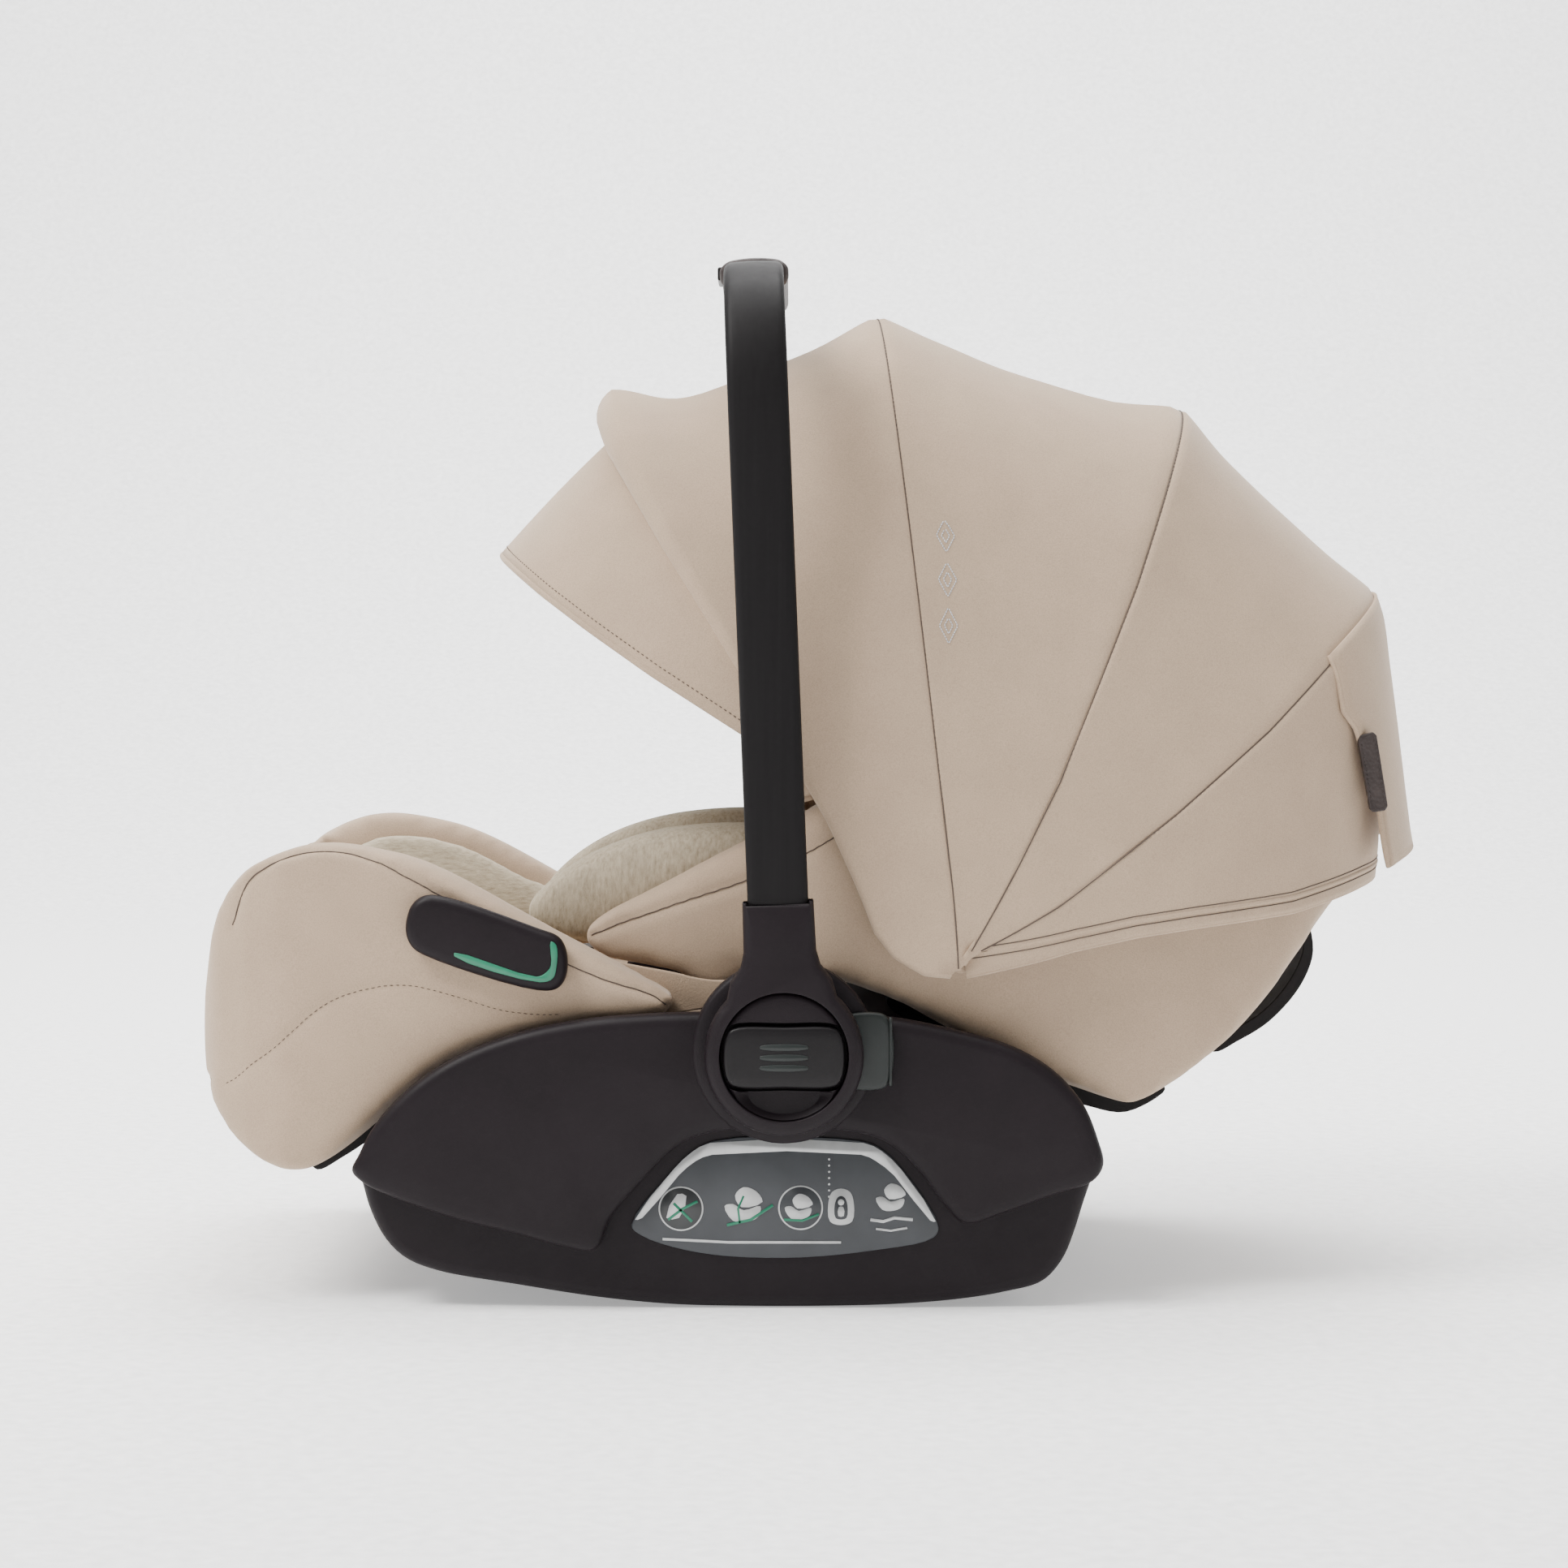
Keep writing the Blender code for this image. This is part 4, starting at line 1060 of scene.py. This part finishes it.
def band(name, points, width, thick, y_shift, mat, count=60, crown=0.0):
    """A flat strap through (x, z) points, its middle moving from one y to the other."""
    line = curve(points, count)
    across = np.linspace(-1, 1, 9)
    along = np.gradient(line, axis=0)
    along /= np.linalg.norm(along, axis=1)[:, None]
    up = np.stack([-along[:, 1], along[:, 0]], axis=1)
    rows = []
    for k in range(count):
        s = k / (count - 1)
        y = y_shift[0] + (y_shift[1] - y_shift[0]) * s
        ends = min(1.0, min(s, 1 - s) * 9 + 0.55) if crown else 1.0
        rim = []
        for a in across:
            h = thick + crown * (1 - a * a) * ends
            rim.append((line[k, 0] + up[k, 0] * h, y + a * width / 2 * ends**0.5, line[k, 1] + up[k, 1] * h))
        for a in across[::-1]:
            rim.append((line[k, 0], y + a * width / 2 * ends**0.5, line[k, 1]))
        rows.append(rim)
    return sheet_mesh(name, rows, mat, True, True)


def harness():
    strap = [(48, 205.7), (62, 200.7), (90, 194.6), (122, 187.6), (146, 182.6)]
    for name, side in SIDES:
        obj = band(f"harness_web_{name}", strap, 25, 1.3, (side * 15, side * 36), WEB)
        ride_piece(bevelled(obj, 0.4, 2), "backrest", [f"harness_strap_{name}"])
        pad = band(f"harness_pad_{name}_cloth", [(66, 202.4), (90, 197.2), (122, 190.2), (136, 187.2)], 37, 4.6,
                   (side * 20.5, side * 34.5), TAUPE, 40, 3.6)
        bevelled(pad, 2.0, 3, 40)
        settle(pad)
        pad.data.shade_smooth()
        ride_piece(pad, "backrest", [f"harness_pad_{name}"])
        lines = []
        for off in (-14.5, 14.5):
            lines.append(on_skin(pad, [(x, side * (20.5 + 14 * s) + off, 214 - 22 * s)
                                       for s, x in zip(np.linspace(0.06, 0.94, 20), np.linspace(70, 133, 20))], 0.1))
        sewn(f"harness_pad_{name}_stitches", lines, PALE_THREAD, "backrest",
             pitch=3.2, length=2.0, radius=0.28)
    crotch = band("crotch_web", [(-42, 203.8), (-30, 204.5), (-13, 209.2)], 30, 1.3, (0, 0), WEB, 30)
    ride_piece(bevelled(crotch, 0.4, 2), "backrest", ["crotch_strap"])
    pull = band("adjuster_web", [(-225, 183.5), (-190, 181.6), (-140, 180.4), (-100, 181.6)], 25, 1.3, (0, 0), WEB, 40)
    ride_piece(bevelled(pull, 0.4, 2), "base", ["adjuster_strap"])


for build in (canopy_seams, canopy_motifs, visor_hem, canopy_bows, base_panel_hem, rear_flap, leg_cover,
              leg_gussets, leg_insert, back_cover, bolsters, seat_pad, head_support, harness):
    build()


# Handle and hubs

def on_handle(t, reach):
    """(x, z) of a point of the upright handle: reach from the hub and t across the tube."""
    return (HUB_X - reach * math.sin(HANDLE_TILT) + t * math.cos(HANDLE_TILT),
            HUB_Z + reach * math.cos(HANDLE_TILT) + t * math.sin(HANDLE_TILT))


def bar_reach(y):
    """Reach of the crossbar's middle line: a shallow bow, rounded at the middle and nearly straight from there."""
    fall, rounded = 0.1025, 24
    return HANDLE_TOP - fall * (np.hypot(y, rounded) - rounded)


def arch_line(count):
    """The handle's middle line as (y, reach): crossbar, bends and legs."""
    points = [(y, bar_reach(y)) for y in (0, 12, 25, 40, 80, 115, 150)]
    a, b, c, d = np.array([(150, bar_reach(150)), (190, 418), (HANDLE_HALF, 392), (HANDLE_HALF, 340)])
    for s in np.linspace(0, 1, 15)[1:]:
        points.append(tuple((1 - s) ** 3 * a + 3 * s * (1 - s) ** 2 * b + 3 * s * s * (1 - s) * c + s**3 * d))
    half = np.array(points + [(HANDLE_HALF, 200), (HANDLE_HALF, 50)])
    whole = np.vstack([half[::-1] * (-1, 1), half[1:]])
    return spread(whole, count)


def swept(name, line, width, thick, corner, mat, arc=6, crown=0.0):
    """A rounded section along the handle's line, its outer face falling by the crown toward its edges."""
    section = []
    for cx, cy, start in ((1, 1, 0), (-1, 1, 90), (-1, -1, 180), (1, -1, 270)):
        for k in range(arc):
            a = math.radians(start + 90 * k / (arc - 1))
            section.append((cx * (width / 2 - corner) + corner * math.cos(a),
                            cy * (thick / 2 - corner) + corner * math.sin(a)))
        if start == 0:
            section += [(t, thick / 2) for t in np.linspace(width / 2 - corner, corner - width / 2, 11)[1:-1]]
    section = [(t, n - crown * (2 * t / width) ** 2 * max(2 * n / thick, 0)) for t, n in section]
    along = np.gradient(line, axis=0)
    along /= np.linalg.norm(along, axis=1)[:, None]
    rings = []
    for (y, reach), (ay, ar) in zip(line, along):
        ring = []
        for t, n in section:
            x, z = on_handle(t, reach + n * ay)
            ring.append((x, y - n * ar, z))
        rings.append(ring)
    return sheet_mesh(name, rings, mat, True, True)


LATCH_RECESS, LATCH_PAD = 21.2, 20.4


def handle():
    """Tube, grip and thumb latch. The latch sits in a recess cut in the other two."""
    x, z = on_handle(-19.5, bar_reach(0) + 0.3)
    recess = [(x - 3, z - 4.6), (x + 6.4, z - 4.6), (x + 6.4, z + 4.6), (x - 3, z + 4.6)]
    arch = swept("handle_tube", arch_line(220), 32.5, 14, 4.2, METAL, crown=1.0)
    join(arch, [prism("recess", recess, -LATCH_RECESS, LATCH_RECESS, METAL)], "DIFFERENCE")
    ride_piece(arch, "handle", ["handle_arch"])
    y = np.concatenate([np.linspace(-90, -86, 5), np.linspace(-84, 84, 60), np.linspace(86, 90, 5)])
    line = np.stack([y, bar_reach(y)], axis=1)
    grow = 1 - np.clip((np.abs(y) - 85.5) / 4.5, 0, 1) ** 2 * 0.12
    grip = swept("grip_wrap", line, 39, 17.4, 7.0, LEATHER, 8, 2.6)
    rings = coords(grip).reshape(len(y), -1, 3)
    centre = rings.mean(axis=1, keepdims=True)
    set_coords(grip, (centre + (rings - centre) * grow[:, None, None]).reshape(-1, 3))
    join(grip, [prism("recess", recess, -LATCH_RECESS, LATCH_RECESS, LEATHER)], "DIFFERENCE")
    ride_piece(grip, "handle", ["handle_grip"])
    latch = [(x - 2.2, z - 4), (x + 2.2, z - 4), (x + 2.2, z + 4), (x - 2.2, z + 4)]
    latch = bevelled(prism("grip_latch_pad", latch, -LATCH_PAD, LATCH_PAD, BUTTON), 1.4, 4, 50)
    ride_piece(latch, "grip_latch", ["grip_latch"])
    rows = []
    for t in (-1.6, 1.6):
        under = [(yy, on_handle(t, reach - 9.0)) for yy, reach in line[4:-4]]
        rows.append(np.array([(x, yy, z) for yy, (x, z) in under]))
    sewn("grip_stitches", rows, SEAM_THREAD_AND_SHADE, "handle", pitch=4.0, length=2.6, radius=0.4)


def fork(name, side):
    """Sleeve over the tube, flowing into the ring round the hub."""
    sleeve = [(19, 83), (19.2, 70), (19.4, 56), (21.4, 48), (27.2, 40)]
    ring = [(42.6 * math.cos(a), 42.6 * math.sin(a)) for a in np.radians(np.linspace(46, -226, 40))]
    outline = [on_handle(t, r) for t, r in sleeve + ring + [(-t, r) for t, r in reversed(sleeve)]]
    profile = ((203.6, 1.2), (204.8, 0), (216.5, 0), (219.2, 0.7), (221.2, 2.2), (222.0, 4.6))
    obj = sheet_mesh(f"fork_{name}", [at_y(inset(outline, by), side * y) for y, by in profile], BLACK, True, True)
    face = [(HUB_X + 34.5 * math.cos(a), HUB_Z + 34.5 * math.sin(a))
            for a in np.radians(np.linspace(0, 360, 72, endpoint=False))]
    socket = [on_handle(t, r) for t, r in ((-16.4, 49), (16.4, 49), (16.4, 95), (-16.4, 95))]
    join(obj, [prism("face", face, side * 208.6, side * 232, BLACK),
               prism("socket", socket, side * 205.2, side * 219.8, BLACK)], "DIFFERENCE")
    bevelled(obj, 0.7, 2, 38)
    ride_piece(obj, "handle", [f"handle_fork_{name}"])


def hub_cap(name, side):
    """Domed face with a slot for the button and a scoop for the thumb under it."""
    profile = ((34.0, 209.2), (34.0, 218.2), (33.6, 219.2), (32.6, 219.9), (31.0, 220.2), (24, 220.4), (14, 220.5),
               (4, 220.5))
    cap = turned(f"cap_{name}", (HUB_X, HUB_Z), profile, side, BLACK)
    slot = smooth_ring([(-33.5, 142), (-31.8, 154), (-28, 159.3), (0, 160.4), (28, 159.3), (31.8, 154), (33.5, 142),
                        (31.8, 130), (28, 124.7), (0, 123.6), (-28, 124.7), (-31.8, 130)], 5)
    scoop = []
    for y, grow in ((214.6, 0.72), (217.5, 0.86), (220.0, 0.98), (223, 1.10)):
        deep = [16 * grow if math.sin(t) < 0 else 2.5 for t in AROUND]
        scoop.append([(27 * grow * math.cos(t), side * y, 122.6 + d * math.sin(t)) for t, d in zip(AROUND, deep)])
    join(cap, [prism("slot", slot, side * 211, side * 232, BLACK), sheet_mesh("scoop", scoop, BLACK, True, True)],
         "DIFFERENCE")
    bevelled(cap, 0.5, 2, 38)
    ride_piece(cap, "handle", [f"hub_cap_{name}"])


def hub_button(name, side):
    """The push button, with small raised grip bars in place of a mark."""
    outline = [(-32.6, 142), (-31.0, 153.5), (-27.4, 157.6), (0, 158.4), (27.4, 157.6), (31.0, 153.5), (32.6, 142),
               (31.0, 130.5), (27.4, 126.4), (0, 125.6), (-27.4, 126.4), (-31.0, 130.5)]
    profile = ((215.2, 0.8), (219.6, 0.2), (220.9, 0.5), (221.6, 1.3), (221.9, 2.6), (222.2, 6.5))
    obj = plate(f"button_{name}", outline, side, profile, BUTTON, 6)
    ride_piece(obj, f"handle_button_{name}", [f"handle_button_{name}"])
    for k, z in enumerate((136.5, 142, 147.5)):
        bar = smooth_ring([(-13, z), (-12.4, z + 1), (12.4, z + 1), (13, z), (12.4, z - 1), (-12.4, z - 1)], 4)
        piece = plate(f"button_bar_{k}_{name}", bar, side, ((221.6, 0), (222.5, 0.1), (222.8, 0.4)), LEVER, 3)
        ride_piece(piece, f"handle_button_{name}")


handle()
for name, side in SIDES:
    fork(name, side)
    hub_cap(name, side)
    hub_button(name, side)


# Base

BACK_SHELL = [(60, 166), (104, 143), (144, 123), (167, 115), (190, 107), (208, 115), (214, 112), (192, 99),
              (168, 103), (140, 112), (100, 134), (58, 159)]
LEG_SHELL = [(-262, 76), (-246, 84), (-233, 92), (-207, 114), (-180, 134), (-144, 145), (-118, 151), (-62, 157),
             (-62, 151), (-116, 146), (-142, 140), (-176, 130), (-203, 109), (-229, 88), (-244, 78), (-258, 71)]
REAR_GUIDE = [(240, 132), (249, 125), (262, 131), (281, 143), (299, 164), (306, 184), (301, 204), (297, 200),
              (300, 186), (293, 168), (277, 149), (259, 138), (248, 134), (243, 138)]
COVER_TOP = [(-234, 77), (-230, 86), (-224, 98), (-213, 112), (-195, 128), (-173, 141), (-143, 152), (-108, 159),
             (-73, 162), (-42, 163), (0, 163), (41, 161), (59, 160), (94, 153), (124, 144), (146, 131), (162, 113),
             (170, 94), (173, 80)]
COVER_LIP = [(167, 71), (147, 64), (120, 54), (98, 48), (87, 58), (72, 78), (54, 93), (28, 99), (-29, 99), (-55, 92),
             (-77, 71), (-94, 51), (-102, 34), (-121, 36), (-143, 42), (-179, 51), (-218, 65), (-229, 71)]
LABEL = [(-83, 46), (-77, 40), (-47, 31), (0, 28), (48, 32), (81, 39), (84, 45), (63, 78), (52, 88), (41, 92),
         (-38, 92), (-51, 84)]
LABEL_FACE = 183.5
BELT_GUIDE = [(-205, 206), (-203, 218), (-198, 224), (-190, 226), (-134, 208), (-122, 203), (-118, 196), (-118, 182),
              (-123, 175), (-134, 174), (-195, 193), (-202, 198)]
GUIDE_LINE = [(-178, 193), (-132, 179), (-125, 181), (-123, 187), (-123, 199), (-126, 201), (-126, 188), (-129, 184),
              (-134, 182), (-178, 195)]
ROCKER = [(167, 68), (163, 56), (158, 40), (152, 26), (141, 14), (120, 8), (95, 4), (60, 1.2), (20, 0.2), (-20, 0.2),
          (-60, 1.2), (-100, 5), (-145, 12), (-190, 20), (-207, 27), (-218, 38), (-226, 54), (-230, 68)]


def tub():
    """The rocker tub, hollow above, its rim just under the top edge of the side covers."""
    half, wall = 182, 5
    rim = [(x, z - 3) for x, z in COVER_TOP[1:-1]]
    shell = prism("tub", np.vstack([curve(ROCKER, 110), curve(rim, 70)]), -half, half, BLACK)
    settle(bevelled(shell, 7, 5, 60))
    inner = [(161, 68), (154, 44), (146, 30), (136, 20), (104, 11), (60, 6.5), (-60, 6.5), (-100, 11), (-145, 18),
             (-192, 27), (-203, 32), (-213, 43), (-221, 57), (-225, 68), (-226, 77), (-250, 77), (-250, 260),
             (190, 260), (190, 80), (162, 80)]
    join(shell, [prism("hollow", inner, wall - half, half - wall, BLACK)], "DIFFERENCE")
    ride_piece(shell, "base", ["base_tub"])


def mouldings():
    """Shells under the leg section and the back, and the rear belt guide."""
    for name, outline, half, body in (("leg_shell", LEG_SHELL, 150, "base"),
                                      ("back_shell", BACK_SHELL, 120, "backrest"),
                                      ("rear_belt_guide", REAR_GUIDE, 55, "backrest")):
        shell = bevelled(prism(f"{name}_moulding", smooth_ring(outline, 5), -half, half, INNER_BLACK), 1.4, 2, 45)
        ride_piece(shell, body, [name])


def side_parts(name, side):
    """Cover with its boss, label, belt guide and release lever of one side."""
    profile = ((182.6, 0.4), (186, 0), (190.5, 0.1), (193, 0.8), (194.8, 2.2), (195.8, 4.4), (196.3, 7.5))
    cover = plate(f"cover_{name}", COVER_TOP + COVER_LIP, side, profile, BLACK, 5)
    ride_piece(cover, "base", [f"side_cover_{name}"])
    profile = ((50, 190), (49.6, 195.5), (48.8, 197.2), (47.4, 198.0), (44, 198.3), (10, 198.3))
    ride_piece(turned(f"boss_{name}", (HUB_X, HUB_Z), profile, side, BLACK), "base")
    film = plate(f"label_{name}", LABEL, side, ((182.2, 0), (183.2, 0), (LABEL_FACE, 0.5)), FILM, 5)
    ride_piece(film, "base", [f"info_label_{name}"])
    label_print(name, side)
    profile = ((176.6, 0.5), (182, 0), (185.4, 0.5), (187.2, 1.7), (188.0, 3.4), (188.3, 6.0))
    guide = plate(f"guide_{name}", BELT_GUIDE, side, profile, BLACK, 6)
    ride_piece(guide, "base", [f"belt_guide_{name}"])
    inlay = plate(f"guide_inlay_{name}", GUIDE_LINE, side, ((187.6, 0), (188.7, 0), (188.9, 0.2)), GREEN, 4)
    ride_piece(inlay, "base", [f"guide_line_{name}"])
    outline = [(22, 128), (22, 158), (34, 163), (49, 164), (55, 162), (58.4, 153), (59.2, 143), (58.4, 133),
               (55, 124), (49, 122), (34, 123)]
    profile = ((198.5, 0.4), (200, 0), (201.6, 0.3), (202.4, 1.2), (202.7, 3.0))
    lever = plate(f"lever_{name}", outline, side, profile, LEVER, 5)
    ride_piece(lever, f"release_lever_{name}", [f"release_lever_{name}"])
    line = at_y(spread(np.array([(57.2, 124.5), (57.2, 161.5)]), 12), side * 202.6)
    ride_piece(tube(f"lever_rib_{name}", line, 0.9, LEVER), f"release_lever_{name}")


def label_print(name, side):
    """Generic pictograms of a seat, a belt and a level line. No lettering. Lift puts one layer over another."""
    made = []

    def fill(outline, mat, lift=0.0, per=3):
        y = LABEL_FACE + lift
        made.append(plate(f"print{len(made)}", outline, side, ((y, 0), (y + 0.14, 0.05)), mat, per))

    def stroke(line, width, mat, lift=0.1):
        line = np.array(line, float)
        along = np.gradient(line, axis=0)
        along /= np.linalg.norm(along, axis=1)[:, None]
        across = np.stack([-along[:, 1], along[:, 0]], axis=1) * width / 2
        fill(np.vstack([line + across, (line - across)[::-1]]), mat, lift, 1)

    def disc(x, z, r, mat, lift=0.0):
        turn = np.linspace(0, 2 * math.pi, 24, endpoint=False)
        fill([(x + r * math.cos(a), z + r * math.sin(a)) for a in turn], mat, lift, 2)

    def seat(x, z, k):
        for shape in (((-9, 3), (-5, 4), (0, 1), (8, 3), (7, -2), (2, -4.5), (-5, -4)),
                      ((-1, 2.5), (-4, 8), (0, 12), (6, 10), (9, 5))):
            fill([(x + a * k, z + b * k) for a, b in shape], PALE_PRINT, 0.12)

    # Border, base line and dotted line
    fill([(-81, 49), (-60, 76.5), (-50, 86), (-40, 91), (43, 91), (53, 86.5), (64, 76), (82.5, 48), (79.5, 48.5),
          (60, 73), (50, 81), (42, 84.5), (-39, 84.5), (-48, 81), (-57, 73.5), (-77, 50)], PALE_PRINT, 0, 2)
    stroke([(-66, 38.4), (-30, 36.6), (31, 36.6)], 1.4, PALE_PRINT)
    for k in range(7):
        disc(24.5, 82 - 3.4 * k, 0.6, PALE_PRINT)
    # Belt in a round field
    disc(-56, 55, 12.2, PALE_PRINT)
    disc(-56, 55, 11.4, DARK_PRINT, 0.08)
    fill([(-64, 50), (-57, 50), (-53, 62), (-58, 63)], PALE_PRINT, 0.16, 2)
    stroke([(-63, 49), (-55, 55), (-47, 59)], 1.5, GREEN, 0.24)
    stroke([(-60, 58), (-54, 52), (-50, 48)], 1.5, GREEN, 0.24)
    # Belted seat
    seat(-22, 53, 1.15)
    stroke([(-31, 46), (-18, 49), (-6, 57)], 1.6, GREEN, 0.24)
    stroke([(-24, 47), (-25, 55), (-22, 62)], 1.1, GREEN, 0.24)
    # Seat in a round field
    disc(9, 55.5, 12.2, PALE_PRINT)
    disc(9, 55.5, 11.4, FILM, 0.08)
    seat(8, 53, 0.85)
    stroke([(0, 49), (10, 48.5), (19, 52)], 1.4, GREEN, 0.24)
    # Seat from the front
    fill([(25, 48), (24, 57), (26, 64), (31, 66), (36, 64), (38, 57), (37, 48), (31, 46)], PALE_PRINT, 0.0)
    fill([(28, 50), (27.5, 57), (29, 61), (31, 62), (33, 61), (34.5, 57), (34, 50), (31, 49)], FILM, 0.16)
    disc(31, 58.5, 1.7, PALE_PRINT, 0.3)
    fill([(29.5, 51), (29.8, 56), (32.2, 56), (32.5, 51)], PALE_PRINT, 0.3, 2)
    # Seat over a level line
    seat(58, 58, 0.9)
    stroke([(47, 49), (54, 48), (60, 50), (70, 49)], 1.7, PALE_PRINT)
    stroke([(50, 44), (58, 43), (67, 44.5)], 1.2, PALE_PRINT)
    groups = {}
    for obj in made:
        groups.setdefault(obj.data.materials[0].name, []).append(obj)
    for mat_name, objs in groups.items():
        bm = bmesh.new()
        for obj in objs:
            bm.from_mesh(obj.data)
        joined = finish_mesh(f"{mat_name}_on_label_{name}", bm, objs[0].data.materials[0], False)
        for obj in objs:
            bpy.data.objects.remove(obj)
        ride_piece(joined, "base")


tub()
mouldings()
for name, side in SIDES:
    side_parts(name, side)

# The CAD nodes that still show get a finish by the longest of these keys that is in their name

CAD_FINISH = {"axle": STEEL, "adjuster_housing": BLACK, "adjuster_button": LEVER, "buckle_tongue": STEEL,
              "buckle_button": RED, "buckle": BLACK}
for name, obj in NODES.items():
    if obj.hide_render:
        continue
    key = max((k for k in CAD_FINISH if k in name), key=len)
    obj.data.materials.clear()
    obj.data.materials.append(CAD_FINISH[key])
